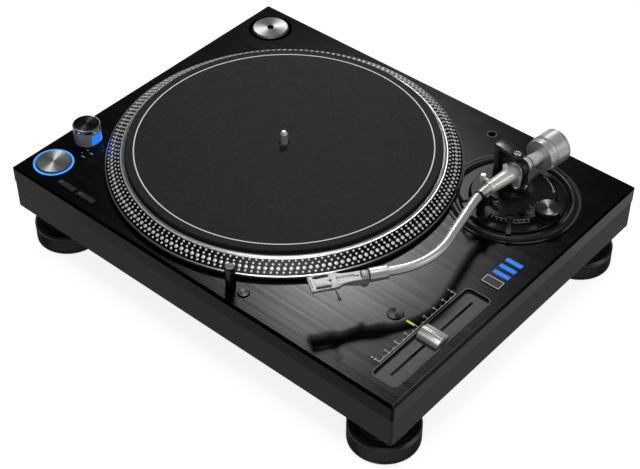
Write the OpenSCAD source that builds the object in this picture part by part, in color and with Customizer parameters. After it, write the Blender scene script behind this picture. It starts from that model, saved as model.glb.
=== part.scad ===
// Direct-drive turntable with an S-shaped tonearm, a tempo fader and four screw feet.
// Millimetres, +Z up, soles on z = 0, X to the right and Y to the back.

/* [Shared fits] */
// Bevel on small turned parts
turned_bevel = 0.7; // [0.3:0.1:0.9]
// Gap of every threaded or free sliding fit
slip_gap = 0.09; // [0.05:0.01:0.12]
// Running gap of every turning or sliding fit
run_gap = 0.05; // [0.03:0.01:0.09]

/* [Plinth] */
// Plinth width, left to right
plinth_w = 453; // [448:1:464]
// Plinth depth, front to back
plinth_d = 353; // [350:1:362]
// Upright corner edge radius
corner_r = 2.5; // [1.5:0.5:4]
// Bevel along the top edge of the deck
edge_bevel = 2.6; // [1:0.2:3.2]
// Deck casting height
deck_h = 17; // [17:0.5:20]
// Deck top thickness
deck_skin = 4; // [3:0.25:4.5]
// Deck side wall thickness
deck_wall = 5; // [4:0.5:6]
// Cabinet height under the deck
cabinet_h = 30; // [29:0.5:34]
// Cabinet wall thickness
cabinet_wall = 6; // [5:0.5:7]
// Step in from the deck sides to the cabinet sides
cabinet_inset = 0.5; // [0.2:0.1:1.5]
// Bottom cover thickness
cover_t = 3; // [2:0.5:3.5]
// Gap around the bottom cover
cover_gap = 0.3; // [0.2:0.1:0.6]
// Wall around a pocket under the deck
boss_wall = 3; // [2:0.5:3.5]
// Floor under a pocket in the deck
boss_floor = 3; // [2:0.5:3.5]

/* [Cover screws] */
// Cover screw head radius
screw_head_r = 3.5; // [3:0.25:3.75]
// Cover screw head height
screw_head_h = 1.6; // [1:0.2:1.8]
// Cover screw shank radius
screw_r = 1.75; // [1.25:0.25:2]
// Cover screw post radius
post_r = 5; // [5:0.5:6]
// Cover screw post height
post_h = 14; // [10:1:16]
// Distance of the screws from the cabinet walls
screw_in = 4.4; // [4.3:0.1:4.6]
// Distance of the front screws from the middle
screw_front_x = 90; // [70:5:110]
// Distance of the rear screws from the middle
screw_rear_x = 26; // [18:1:28]

/* [Feet] */
// Cabinet underside height above the table
foot_clear = 40; // [38:0.5:44]
// Foot radius
foot_r = 32; // [28:0.5:33]
// Distance of a foot axis from the plinth sides
foot_inset = 32; // [30:0.5:36]
// Height of the wide foot body top
foot_body_top = 21; // [18:0.5:23]
// Bevel on the top edge of the foot body
foot_bevel = 1.5; // [0.5:0.25:2.5]
// Foot neck radius
neck_r = 22; // [16:0.5:24]
// Gap between the neck and the bottom cover
neck_gap = 0.5; // [0.4:0.1:1]
// Threaded stud radius
stud_r = 5; // [4:0.25:6]
// Threaded stud length
stud_len = 22; // [20:1:22]
// Wall of the cabinet boss around a stud
stud_boss_wall = 8; // [5:0.5:9]
// Cabinet boss height around a stud
stud_boss_h = 22; // [20:0.5:23]
// Stud boss rib thickness
rib_t = 4; // [3:0.5:6]
// Rubber sole radius
sole_r = 29; // [24:0.5:29]
// Rubber sole thickness
sole_t = 5; // [4:0.5:6]
// Foot body height above the table
sole_show = 1.5; // [1:0.25:2.5]
// Gap around the sole
sole_gap = 0.4; // [0.3:0.1:0.8]
// Sole pin radius
sole_pin_r = 6; // [5:0.25:8]
// Sole pin length
sole_pin_len = 8; // [5:0.5:10]

/* [Platter] */
// Spindle axis, left of the middle
platter_left = 43.6; // [43:0.1:44.2]
// Spindle axis, in front of the middle
platter_front = 1.75; // [0.75:0.25:2.25]
// Platter rim radius
platter_r = 166; // [162:0.2:166.2]
// Rim underside height above the deck
rim_clear = 2; // [1.5:0.25:3]
// Upright rim band height
rim_band = 2.6; // [1.5:0.1:3.5]
// Platter thickness under its bevel
rim_wall = 3; // [2:0.25:3]
// Space between the rim and the controls beside it
rim_space = 3; // [2:0.5:5]
// Rim underside inner radius
rim_in_r = 150; // [147:0.5:153]
// Radius where the platter underside meets the rim
under_r = 144; // [140:0.5:146]
// Platter underside height above the deck
under_z = 9.5; // [9:0.1:10]
// Bright top ring outer radius
ring_r = 151.2; // [150:0.2:153]
// Bright top ring width
ring_w = 3.1; // [2:0.1:4]
// Bright top ring height above the deck
ring_z = 12.8; // [12:0.1:13.6]
// Width and height of the small edge outside the top ring
ring_edge = 0.3; // [0.1:0.1:0.6]
// Platter top height above the deck
platter_z = 14.5; // [14:0.1:15.5]
// Hub radius under the platter
hub_r = 22; // [16:0.5:30]
// Hub underside height above the deck
hub_z = 6.3; // [6.2:0.1:8]
// Slipmat radius
mat_r = 147; // [144:0.5:147.5]
// Slipmat thickness
mat_t = 3; // [1.5:0.25:4]
// Gap between the slipmat and the spindle
mat_gap = 0.35; // [0.3:0.05:0.8]
// Spindle radius
spindle_r = 3.575; // [3.45:0.025:3.6]
// Spindle height above the slipmat
spindle_up = 13; // [11:0.5:16]
// Rounded spindle tip height
tip_h = 2.4; // [1.5:0.1:3]
// Flat radius on the spindle tip
tip_r = 1.4; // [1:0.1:2]

/* [Motor] */
// Motor well radius
motor_well_r = 70; // [66:0.5:76]
// Motor well depth
motor_well_depth = 7; // [6.5:0.25:7.5]
// Motor well floor thickness
well_floor = 4; // [3:0.5:4.5]
// Wall of the motor well
well_wall = 4; // [3:0.5:6]
// Shaft radius in the bearing
shaft_r = 4; // [3.75:0.05:4.5]
// Shaft end depth below the deck
shaft_depth = 34; // [30:0.5:34]
// Bearing bush radius
bush_r = 8; // [7:0.25:9]
// Thrust pad thickness under the shaft
thrust_t = 3; // [2:0.5:3.5]
// Bearing housing tube radius
bearing_r = 12; // [10.5:0.25:14]
// Bearing housing height above the deck
bearing_up = 5.6; // [4.5:0.1:5.8]
// Floor of the bearing housing
bearing_floor = 3; // [2:0.5:3.5]
// Bearing flange radius
flange_r = 36; // [28:1:44]
// Bearing flange thickness
flange_t = 4; // [3:0.5:5]
// Stator core radius
core_r = 20; // [17:0.5:21]
// Stator core height
core_h = 9; // [7:0.25:9.5]
// Number of motor coils
coil_count = 9; // [6:1:9]
// Motor coil radius
coil_r = 6.5; // [5:0.25:7]
// Distance of the coils from the axis
coil_ring_r = 29; // [28:0.5:31]
// Motor coil height
coil_h = 10; // [7:0.25:10.25]
// Magnet ring inner radius
magnet_in_r = 42; // [40:0.5:46]
// Magnet ring outer radius
magnet_out_r = 56; // [52:0.5:62]
// Magnet ring depth below the deck
magnet_depth = 4; // [3:0.25:4.5]
// Motor board radius
motor_board_r = 62; // [50:0.5:64]
// Circuit board thickness
board_t = 1.6; // [1:0.2:2]

/* [Left controls] */
// Start button, from the left side
start_in_x = 25.9; // [25.5:0.1:27]
// Start button, from the front
start_in_y = 29; // [28:0.5:31]
// Start button radius
start_r = 16; // [14:0.25:16.5]
// Start button height above the deck
start_up = 1.8; // [1:0.1:2.2]
// Start button depth below the deck
start_down = 4; // [3:0.1:4.3]
// Gap around the start button
start_gap = 0.4; // [0.3:0.05:0.6]
// Lit ring width around the start button
start_ring_w = 2.6; // [1.6:0.1:3]
// Lit ring height above the deck
start_ring_up = 0.3; // [0.1:0.1:0.6]
// Depth of the lit ring seat
start_ring_depth = 6; // [5.8:0.1:6.5]
// First speed button, from the left side
speed_in_x = 60.5; // [59.5:0.5:62]
// Speed buttons, from the front
speed_in_y = 14.4; // [13:0.2:15.6]
// Speed button spacing
speed_pitch = 25.2; // [24:0.2:28]
// Speed button length
speed_l = 21; // [18:0.5:22]
// Speed button width
speed_w = 5.5; // [4.5:0.25:7]
// Speed button height above the deck
speed_up = 0.8; // [0.4:0.1:1.2]
// Adapter, from the left side
adapter_in_x = 32.3; // [31.5:0.5:34]
// Adapter, from the back
adapter_in_y = 31.9; // [31:0.5:34]
// Adapter radius
adapter_r = 19; // [18.9:0.1:19.4]
// Adapter height
adapter_h = 10; // [8.5:0.5:14]
// Bevel on the adapter edge
adapter_bevel = 1.5; // [0.5:0.25:2.5]
// Gap between the adapter bore and a spindle
adapter_bore_gap = 0.06; // [0.03:0.01:0.1]
// Adapter recess depth
adapter_depth = 8; // [6:0.25:8.5]
// Gap around the adapter
adapter_gap = 3.3; // [2.5:0.1:4]

/* [Strobe pod] */
// Strobe pod, from the left side
pod_in_x = 24.1; // [23.6:0.1:25]
// Strobe pod, from the front
pod_in_y = 74; // [72:0.5:78]
// Strobe pod radius
pod_r = 13.2; // [12:0.2:14]
// Strobe pod housing height
pod_h = 14; // [12:0.25:16]
// Wall of the strobe pod
pod_wall = 1.8; // [1.2:0.1:2.4]
// Strobe window direction
window_az = 18; // [5:1:30]
// Strobe window angle
window_angle = 86; // [60:1:100]
// Window bottom height above the deck
window_z = 1.5; // [1:0.1:2.5]
// Strobe window height
window_h = 10; // [7:0.25:10]
// Power knob height
knob_h = 3.8; // [3:0.1:6]
// Gap under the power knob
knob_gap = 0.3; // [0.2:0.05:0.6]
// Power knob shaft radius
knob_shaft_r = 3; // [2:0.25:4]

/* [Buttons and boards] */
// Gap around a push button
button_gap = 0.35; // [0.3:0.05:0.6]
// Push button cap depth
cap_down = 7; // [5.5:0.25:8]
// Push button stem radius
stem_r = 1.8; // [1.2:0.1:2.4]
// Push button stem depth
stem_down = 11; // [10.5:0.1:11.2]
// Gap around a stem
stem_gap = 0.6; // [0.3:0.1:1]
// Board top depth below the deck
board_depth = 15; // [15:0.1:15.2]
// Switch body size
switch_w = 6; // [4:0.5:7]
// Switch body height
switch_h = 1.8; // [1.2:0.1:1.9]
// Board standoff radius
standoff_r = 3; // [2:0.25:4]
// Left control board length
left_board_l = 92; // [88:1:94]
// Left control board depth
left_board_d = 78; // [74:1:80]
// Left control board, from the left side
left_board_in_x = 9; // [8:0.5:10]
// Left control board, from the front
left_board_in_y = 8; // [7.5:0.5:9]
// Inset of the standoffs from the board edges
standoff_in = 5; // [4:0.5:6]
// Lamp board size
lamp_board_w = 18; // [14:1:19]
// Right control board width
right_board_w = 60; // [58:0.5:61]
// Front edge of the right control board, from the front
right_board_in_y = 12; // [10:0.5:13]
// Right control board depth
right_board_d = 196; // [192:1:202]

/* [Stylus lamp] */
// Stylus lamp, right of the middle
lamp_right = 36.2; // [35:0.2:38]
// Stylus lamp, from the front
lamp_in_y = 17.4; // [16:0.2:17.6]
// Stylus lamp radius
lamp_r = 4.75; // [4.25:0.05:4.9]
// Raised lamp height above the deck
lamp_up = 22.5; // [18:0.5:24]
// Raised lamp depth below the deck
lamp_down = 12; // [11:0.5:14]
// Lamp guide length
lamp_guide = 16; // [13:0.5:17]
// Lamp button, right of the lamp
lamp_button_dx = 14.8; // [14.4:0.2:18]
// Lamp button radius
lamp_button_r = 4.8; // [4:0.1:5]
// Lamp button height above the deck
lamp_button_up = 1.2; // [0.8:0.1:2]
// Gap around the lamp button
lamp_button_gap = 0.7; // [0.4:0.05:0.9]

/* [Tempo fader] */
// Tempo panel middle, from the right side
tempo_in_x = 24.4; // [24:0.2:25]
// Tempo panel middle, from the front
tempo_in_y = 82.25; // [82:0.25:84]
// Tempo recess width
tempo_w = 24.2; // [23.6:0.2:26]
// Tempo recess length
tempo_l = 128.5; // [124:0.5:131]
// Corner radius of the tempo recess
tempo_corner = 4; // [2:0.5:6]
// Tempo panel depth below the deck
tempo_depth = 2.5; // [2:0.1:3]
// Tempo panel thickness
tempo_t = 1.5; // [1:0.1:2]
// Ledge width under the tempo panel
tempo_ledge = 3; // [2:0.25:3.5]
// Ledge thickness under the tempo panel
tempo_ledge_t = 3; // [2:0.25:4]
// Fader slot width
slot_w = 2.6; // [2.4:0.1:5]
// Travel of the fader, each way
fader_travel = 50; // [45:0.5:50]
// Fader cap width
cap_w = 21.3; // [19:0.1:22]
// Fader cap length
cap_l = 17; // [14:0.5:20]
// Fader cap height
cap_h = 6.7; // [5.5:0.1:9]
// Fader cap finger rest height
cap_rest_h = 4.2; // [3:0.1:4.8]
// Fader cap ridge width
cap_ridge = 2; // [1.2:0.1:3]
// Length drawn in at the fader cap top
cap_taper = 1.8; // [0.5:0.1:3]
// Gap under the fader cap
cap_gap = 0.4; // [0.3:0.05:0.8]
// Fader stem width
fader_stem_w = 1.6; // [1.2:0.1:2]
// Fader stem length
fader_stem_l = 7; // [5:0.5:8]
// Fader carriage width
carriage_w = 8; // [6:0.2:8.8]
// Fader carriage length
carriage_l = 12; // [9:0.5:13]
// Fader carriage height
carriage_h = 5; // [3:0.2:5.4]
// Gap above and around the carriage
carriage_gap = 0.8; // [0.5:0.05:1]
// Wall of the fader track
track_wall = 1.5; // [1:0.1:1.6]
// Tempo reset button, left of the tempo panel middle
reset_dx = 39; // [37:0.5:42]
// Reset button radius
reset_r = 7; // [5.5:0.25:8]
// Reset button height above the deck
reset_up = 0.9; // [0.5:0.1:1.5]
// Centre light length
led_l = 8.5; // [6:0.5:10]
// Centre light width
led_w = 2; // [1.2:0.1:3]
// Centre light, left of the tempo panel middle
led_dx = 23; // [20:0.5:24]
// Range button, behind the tempo recess
range_dy = 19; // [17:0.5:21]
// Range button length
range_l = 18.5; // [16:0.5:22]
// Range button width
range_w = 10.5; // [8:0.25:12]
// Range button height above the deck
range_up = 0.9; // [0.5:0.1:1.5]
// First range light, behind the range button
light_dy = 12.6; // [12.2:0.2:16]
// Range light spacing
light_pitch = 9.3; // [8:0.1:12]
// Range light length
light_l = 16.5; // [12:0.5:19]
// Range light width
light_w = 6; // [4:0.25:7]
// Light pocket depth
light_depth = 1.2; // [0.8:0.1:2]

/* [Spare shell socket] */
// Shell socket, right of the middle
socket_right = 82.8; // [80:0.2:85]
// Shell socket, from the back
socket_in_y = 24.7; // [23.2:0.1:26]
// Shell socket outer radius
socket_r = 5.2; // [5:0.1:6]
// Shell socket bore radius
socket_bore_r = 3.75; // [3.6:0.05:3.9]
// Shell socket depth
socket_depth = 22; // [16:0.5:24]
// Shell socket height above the deck
socket_up = 0.4; // [0.2:0.1:1]
// Floor of the shell socket
socket_floor = 2; // [1:0.5:3]

/* [Arm base] */
// Arm pivot, right of the spindle
pivot_dx = 194.9; // [194.8:0.1:196]
// Arm pivot, behind the spindle
pivot_dy = 90.75; // [90.5:0.25:92]
// Deck opening radius around the arm base
arm_open_r = 48.9; // [48.8:0.05:48.95]
// Deck opening depth around the arm base
arm_floor_depth = 4; // [3.6:0.1:4.4]
// Deck boss radius under the arm base
arm_boss_r = 54; // [52:0.5:56]
// Deck boss depth under the arm base
arm_boss_depth = 16; // [14:0.5:16.5]
// Trim inner radius around the arm base
trim_in_r = 49.3; // [49.1:0.1:50]
// Trim outer radius around the arm base
trim_out_r = 61.6; // [60:0.2:63]
// Trim flange thickness
trim_t = 0.6; // [0.4:0.1:1]
// Outer trim lip width
trim_lip_w = 1.4; // [0.8:0.1:1.8]
// Outer trim lip height
trim_lip_h = 1.2; // [0.8:0.1:2]
// Trim ridge circle radius
ridge_ring_r = 54.8; // [54:0.2:55.6]
// Trim ridge section radius
ridge_r = 3.9; // [3:0.1:4.2]
// Gap between the trim and the platter rim
trim_gap = 1.5; // [1:0.1:3]
// Height ring outer radius
height_out_r = 48.4; // [47.5:0.05:48.5]
// Height ring inner radius
height_in_r = 39.3; // [38.8:0.1:41]
// Height ring height above the deck
height_up = 3; // [2:0.1:3.1]
// Arm base drum radius
drum_r = 38; // [37:0.1:38.4]
// Arm base drum height above the deck
drum_up = 8.5; // [8:0.1:8.5]
// Sliding barrel radius under the drum
barrel_r = 30; // [29:0.25:31]
// Hollow radius in the barrel
barrel_in_r = 19; // [14:0.5:20]
// Drum top thickness over the hollow
drum_top_t = 7; // [5:0.5:8]
// Underside of the drum lobes above the deck
lobe_z = 3.7; // [3.5:0.1:3.9]
// Dial lobe thickness
dial_lobe_t = 2.3; // [1.8:0.1:2.4]
// Dial lobe radius
dial_lobe_r = 9; // [7:0.25:10]
// Rest lobe radius
rest_lobe_r = 7; // [6:0.25:7.5]
// Pivot collar radius
collar_r = 14; // [11:0.5:15]
// Pivot collar height
collar_h = 4; // [3:0.1:4.2]
// Lower pivot pin radius
pin_r = 3; // [2.5:0.1:3.5]
// Lower pivot pin length
pin_len = 3.8; // [3:0.1:4]

/* [Arm base controls] */
// Anti-skating dial, right of the arm pivot
skate_dx = 40.6; // [40:0.2:41]
// Anti-skating dial, in front of the arm pivot
skate_dy = 5.2; // [4:0.2:6]
// Anti-skating dial radius
skate_r = 11; // [9.5:0.25:11.5]
// Anti-skating dial height
skate_h = 9.8; // [8:0.1:11]
// Gap under and around the anti-skating dial
skate_gap = 0.4; // [0.3:0.05:0.6]
// Anti-skating shaft radius
skate_shaft_r = 2.5; // [1.5:0.1:3.5]
// Lock knob, right of the arm pivot
lock_dx = 24; // [22:0.5:25]
// Lock knob, in front of the arm pivot
lock_dy = 21.5; // [20:0.5:22]
// Lock knob radius
lock_r = 3; // [2.25:0.25:3.5]
// Lock knob height
lock_h = 5; // [3:0.25:7]
// Lock knob shaft radius
lock_shaft_r = 1.5; // [1:0.1:1.9]
// Lock knob shaft length
lock_shaft_len = 5; // [3:0.25:5.5]
// Gap under the lock knob
lock_gap = 0.3; // [0.2:0.05:0.5]
// Cue lever direction
cue_az = -59; // [-62:1:-56]
// Distance of the cue lever hinge from the arm pivot
cue_hinge_r = 34.5; // [34:0.1:34.8]
// Cue lever hinge height above the deck
cue_hinge_z = 6.3; // [6.2:0.1:6.4]
// Cue lever barrel radius
cue_barrel_r = 1.9; // [1.6:0.1:2]
// Cue lever barrel width
cue_barrel_w = 5; // [4:0.25:6]
// Cue lever hinge pin radius
cue_pin_r = 1; // [0.8:0.1:1.2]
// Hinge pin length in each cheek
cue_pin_len = 2; // [1.5:0.25:2.5]
// Gap around the cue lever
cue_gap = 0.4; // [0.3:0.05:0.6]
// Distance of the cue lever tip from the arm pivot
cue_tip_r = 56.5; // [52:0.5:60]
// Cue lever width
cue_w = 3.2; // [2.4:0.1:3.8]
// Cue lever thickness
cue_t = 2.2; // [1.6:0.1:2.6]
// Wide cue lever tip length
cue_tip_l = 8; // [5:0.5:12]
// Extra width of the cue lever tip
cue_tip_extra = 1.2; // [0.4:0.1:2]
// Distance of the cue lifter bar from the arm pivot
lifter_r = 25; // [24.5:0.1:25.5]
// Cue lifter bar angle
lifter_angle = 46; // [40:1:50]
// Plunger angle along the bar
lifter_plunger_at = 22; // [16:1:30]
// Cue lifter bar width
lifter_w = 3; // [2:0.1:4]
// Cue lifter bar thickness
lifter_t = 3; // [2:0.1:3.4]
// Lowered lifter bar height above the deck
lifter_z = 13.6; // [13.2:0.1:13.6]
// Lifter plunger radius
plunger_r = 2.8; // [2:0.1:2.9]
// Plunger end depth below the deck
plunger_down = 6; // [4:0.5:7]

/* [Arm rest] */
// Arm rest, left of the arm pivot
rest_dx = -4.4; // [-4.8:0.1:-4.2]
// Arm rest, in front of the arm pivot
rest_dy = 44; // [43.5:0.1:44.5]
// Saddle length along the tube
rest_l = 5; // [4:0.25:5.5]
// Post width
rest_post_w = 6; // [5:0.25:6.5]
// Saddle underside height above the deck
rest_saddle_z = 22.6; // [22:0.1:23]
// Gap between the saddle and the tube
rest_gap = 0.5; // [0.4:0.05:0.8]
// Rest wall thickness
rest_wall_t = 2.8; // [2:0.1:3.4]
// Rest wall height above the saddle
rest_wall_h = 6; // [4:0.25:6.2]
// Gap between the tube and the rest wall
rest_side_gap = 0.7; // [0.5:0.05:1]
// Clip hinge, left of the tube axis
clip_dx = 6.7; // [6.6:0.1:6.9]
// Drop from the saddle top to the clip hinge
clip_drop = 3; // [2.9:0.1:3.1]
// Clip barrel radius
clip_barrel_r = 1.5; // [1.3:0.1:1.6]
// Clip hinge pin radius
clip_pin_r = 0.8; // [0.6:0.1:0.9]
// Clip band width
clip_w = 3; // [2:0.1:3.2]
// Clip band thickness
clip_t = 1.6; // [1.2:0.1:1.8]
// Gap between the closed clip and the tube
clip_gap = 0.9; // [0.7:0.05:1]
// Clip lip length
clip_lip = 2; // [1:0.1:2.2]
// Angle the clip stands open
clip_open = 130; // [126:1:132]
// Gap between the clip and the saddle
clip_side_gap = 0.4; // [0.3:0.05:0.5]

/* [Arm bearing] */
// Resting arm angle, from straight ahead
arm_yaw = -7; // [-7.4:0.1:-6.6]
// Arm axis height above the deck
arm_z = 32; // [31.8:0.1:32.2]
// Tilt axis height above the deck
tilt_z = 21; // [20.9:0.1:21.2]
// Inner half width of the gimbal ring
gimbal_in = 9.8; // [9.7:0.1:10.2]
// Gimbal limb thickness
gimbal_t = 3; // [2.5:0.1:3.4]
// Gimbal ring depth along the arm
gimbal_d = 8; // [6:0.25:8.5]
// Gap under and over the gimbal ring
gimbal_gap = 0.5; // [0.4:0.05:0.6]
// Gimbal foot thickness
gimbal_foot_t = 4.2; // [4.1:0.1:4.3]
// Gimbal ring height
gimbal_h = 34; // [33.6:0.2:34.6]
// Gimbal top thickness
gimbal_top_t = 3.4; // [3:0.1:3.6]
// Corner radius of the gimbal ring
gimbal_corner = 8; // [5:0.5:9]
// Tilt pin radius
tilt_pin_r = 2; // [1.5:0.1:2.3]
// Tilt pin length
tilt_pin_len = 3.4; // [2.6:0.1:3.6]
// Side screw head radius
side_screw_r = 3.4; // [2.5:0.1:3.8]
// Side screw head height
side_screw_h = 1.6; // [1:0.1:2]
// Left face of the yoke post
yoke_left = 24; // [22:0.25:25]
// Yoke post thickness
yoke_post_t = 6.5; // [5:0.25:6.5]
// Front face of the yoke post
yoke_front = 4; // [3:0.25:5]
// Yoke post depth
yoke_d = 13; // [10:0.5:15]
// Yoke beam thickness
yoke_beam_t = 3.6; // [3:0.1:5]
// Yoke beam end radius
yoke_end_r = 5.5; // [5:0.25:7]
// Top pivot screw head radius
pivot_head_r = 3.6; // [3:0.1:5]
// Top pivot screw head height
pivot_head_h = 1.6; // [1:0.1:2.4]
// Top pivot screw radius
pivot_screw_r = 1.8; // [1.4:0.1:2.2]
// Top pivot screw length in the gimbal
pivot_screw_in = 2.6; // [2:0.1:2.8]

/* [Tonearm] */
// Arm housing radius
housing_r = 8; // [7.6:0.1:8.2]
// Housing reach in front of the pivot
housing_front = 31; // [30:0.25:31]
// Housing reach behind the pivot
housing_back = 14; // [13:0.25:17]
// Bevel on the housing ends
housing_bevel = 1.2; // [0.6:0.1:1.6]
// Front collar radius
collar_front_r = 6; // [5:0.1:6.4]
// Rear barrel radius
rear_r = 7; // [6.2:0.1:7.4]
// Rear barrel reach behind the pivot
rear_back = 24; // [22:0.25:25]
// Counterweight shaft radius
tail_r = 5.5; // [4.5:0.1:5.8]
// Counterweight shaft reach behind the pivot
tail_back = 47.5; // [46.5:0.25:47.5]
// Outer half width of the tilt lugs
lug_out = 9.3; // [9.1:0.1:9.3]
// Tilt lug thickness
lug_t = 3; // [2.4:0.1:3.2]
// Tilt lug radius
lug_r = 3.3; // [2.8:0.1:3.4]
// Tilt lug width where it meets the housing
lug_d = 6.6; // [5:0.1:7]
// Ear on the housing, left of its axis
ear_dx = 5; // [4.6:0.1:5.4]
// Ear on the housing, in front of the pivot
ear_dy = 8.5; // [8:0.1:9]
// Ear radius
ear_r = 2.6; // [2:0.1:2.8]
// Ear top height above the arm axis
ear_up = 9.4; // [8.5:0.1:9.6]
// Distance of the lateral weight from the arm axis
stub_out = 13; // [12:0.25:14]
// Lateral weight, in front of the pivot
stub_front = 28; // [27:0.25:28.5]
// Lateral rod radius
stub_r = 1.8; // [1.2:0.1:2]
// Lateral weight radius
stub_weight_r = 2.6; // [2.2:0.1:3]
// Lateral weight height
stub_weight_h = 10; // [8:0.25:10]
// Drop of the lateral weight below its rod
stub_drop = 6; // [5:0.25:6]
// Arm tube radius
tube_r = 4.2; // [4:0.05:4.3]
// Tube seam width
seam_w = 0.6; // [0.4:0.1:1]
// Tube seam height
seam_up = 0.04; // [0.03:0.01:0.1]
// Straight reach of the arm before the first bend
tube_straight = 35; // [34.5:0.1:35.5]
// First bend radius
bend1_r = 72; // [70:0.5:74]
// First bend angle
bend1 = 20.8; // [20:0.1:21.4]
// Straight length between the bends
tube_mid = 52.8; // [51:0.2:54]
// Second bend radius
bend2_r = 70; // [68:0.5:72]
// Second bend angle
bend2 = 48.3; // [47.5:0.1:49]
// Straight length of the tube after the second bend
tube_end = 14; // [12:0.25:15]

/* [Counterweight] */
// Tracking force dial radius
force_r = 15; // [13:0.25:15.5]
// Tracking force dial width
force_w = 6; // [4.5:0.1:6.5]
// Front face of the tracking force dial behind the pivot
force_at = 31; // [30.5:0.1:34]
// Counterweight radius
weight_r = 16; // [15:0.1:16.2]
// Counterweight length
weight_l = 19.6; // [19.5:0.1:25.5]
// Gap between the dial and the counterweight
weight_gap = 0.4; // [0.3:0.05:0.6]
// Rear cap of the counterweight
weight_cap = 3; // [2:0.1:3.4]
// Bevel on the counterweight
weight_bevel = 1.4; // [0.6:0.1:2]
// Hollow radius inside the counterweight
weight_core_r = 9; // [7:0.25:13]
// Counterweight grip on its shaft
weight_grip = 4; // [3:0.25:6]

/* [Headshell] */
// Shell nut radius
nut_r = 6; // [5.5:0.1:6.5]
// Rear face of the shell nut after the second bend
nut_at = 7.6; // [7:0.1:8]
// Shell nut length
nut_l = 16.4; // [15:0.1:18]
// Headshell plug radius
plug_r = 4; // [3.6:0.05:4.1]
// Headshell plug length in the nut
plug_in = 9; // [8:0.1:9.4]
// Headshell length in front of the nut
shell_l = 50.6; // [48:0.2:54]
// Headshell width at the front
shell_front_w = 17.6; // [16.8:0.1:19]
// Headshell width at the rear
shell_rear_w = 12.6; // [11.5:0.1:13.5]
// Headshell front block length
shell_front_l = 24; // [23:0.25:26]
// Headshell plate thickness
shell_t = 3; // [2.4:0.1:3.4]
// Headshell top height above the arm axis
shell_up = 1.9; // [1.6:0.1:2.1]
// Gap between the nut and the headshell plate
shell_gap = 0.6; // [0.4:0.1:1]
// Headshell collar radius behind the plate
shell_collar_r = 5; // [4.5:0.1:5.4]
// Headshell collar length
shell_collar_l = 6; // [4:0.25:8]
// Cartridge slot spacing
cart_pitch = 12.7; // [12.5:0.1:12.9]
// Cartridge slot width
cart_slot_w = 2.6; // [2.2:0.1:2.8]
// Cartridge slot length
cart_slot_l = 12.5; // [8:0.25:13]
// Middle of the cartridge slots behind the shell front
cart_back = 11; // [9.5:0.1:12]
// Headshell side wall thickness
wall_t = 1.6; // [1.2:0.1:2]
// Drop of the headshell side wall
wall_drop = 4; // [3:0.1:5]
// Drop of the rear tab on the side wall
tab_drop = 8; // [6:0.1:8.4]
// Rear tab length
tab_l = 6; // [4:0.25:8]
// Finger lift, behind the shell front
lift_back = 20; // [18:0.25:22]
// Finger lift reach past the shell edge
lift_l = 12.5; // [10:0.25:14]
// Finger lift rod radius
lift_r = 0.9; // [0.7:0.05:1.1]
// Finger lift ball radius
lift_ball_r = 1.6; // [1.3:0.1:2]

/* [Rear connectors] */
// Connector window middle, right of the middle
rear_x = 115; // [112:1:118]
// Connector window width
rear_w = 124; // [118:1:126]
// Connector window height
rear_h = 22; // [20:0.5:22]
// Window middle height above the cabinet underside
rear_z = 15; // [14.5:0.25:15.5]
// Connector recess depth
rear_depth = 18; // [16:0.5:20]
// Wall of the connector recess
rear_wall = 2; // [1.5:0.1:2.5]
// Phono jack spacing
jack_pitch = 20; // [16:0.5:22]
// Phono jacks, left of the window middle
jack_dx = 30; // [28:0.5:32]
// Phono jack radius
jack_r = 4.15; // [4:0.05:4.3]
// Phono jack length
jack_l = 9; // [8:0.25:11]
// Phono jack bore radius
jack_bore_r = 1.6; // [1.4:0.1:1.8]
// Phono jack bore depth
jack_bore_l = 8; // [6:0.25:8]
// Phono jack flange radius
jack_flange_r = 6; // [5:0.1:7]
// Phono jack flange thickness
jack_flange_t = 1.5; // [1:0.1:2]
// Ground post, right of the window middle
ground_dx = 2; // [0:0.5:4]
// Ground post radius
ground_r = 1.5; // [1.2:0.1:2]
// Ground post length
ground_l = 10; // [8:0.25:12]
// Ground nut radius
ground_nut_r = 4; // [3:0.1:5]
// Ground nut thickness
ground_nut_t = 4; // [3:0.1:5]
// Gap behind the ground nut
ground_nut_gap = 2; // [1:0.1:3]
// Power inlet, right of the window middle
inlet_dx = 38; // [36:0.5:40]
// Power inlet width
inlet_w = 28; // [27:0.5:30]
// Power inlet height
inlet_h = 17.6; // [17:0.1:18]
// Power inlet depth
inlet_depth = 14; // [12:0.25:14.5]
// Wall of the power inlet
inlet_wall = 1.8; // [1.4:0.1:2.2]
// Floor of the power inlet
inlet_floor = 2; // [1.5:0.1:3]
// Power pin width
power_pin_w = 2; // [1.6:0.1:2.4]
// Power pin height
power_pin_h = 4; // [3:0.25:5]
// Power pin length
power_pin_l = 9; // [7:0.25:10]
// Sideways spacing of the power pins
power_pin_pitch = 7; // [6:0.25:8]
// Upward offset of the middle power pin
power_pin_up = 2; // [1:0.25:3]

/* [Power supply] */
// Power supply, left of the middle
supply_left = 120; // [110:1:125]
// Power supply, behind the middle
supply_back = 90; // [80:1:98]
// Supply board length
supply_l = 100; // [90:1:108]
// Supply board depth
supply_d = 70; // [60:1:76]
// Supply standoff height
supply_up = 4; // [3:0.25:5]
// Transformer size
trafo_w = 40; // [32:1:46]
// Transformer height
trafo_h = 20; // [14:0.5:22]

/* [Hidden] */
$fn = 96;
over = 1;
half = 0.5;
slot_round = 0.49;

deck_z = foot_clear + cabinet_h;
deck_top = deck_z + deck_h;
cabinet_w = plinth_w - 2 * cabinet_inset;
cabinet_d = plinth_d - 2 * cabinet_inset;
left = -plinth_w / 2;
right = plinth_w / 2;
front = -plinth_d / 2;
back = plinth_d / 2;
cover_top = foot_clear + cover_t;

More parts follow.
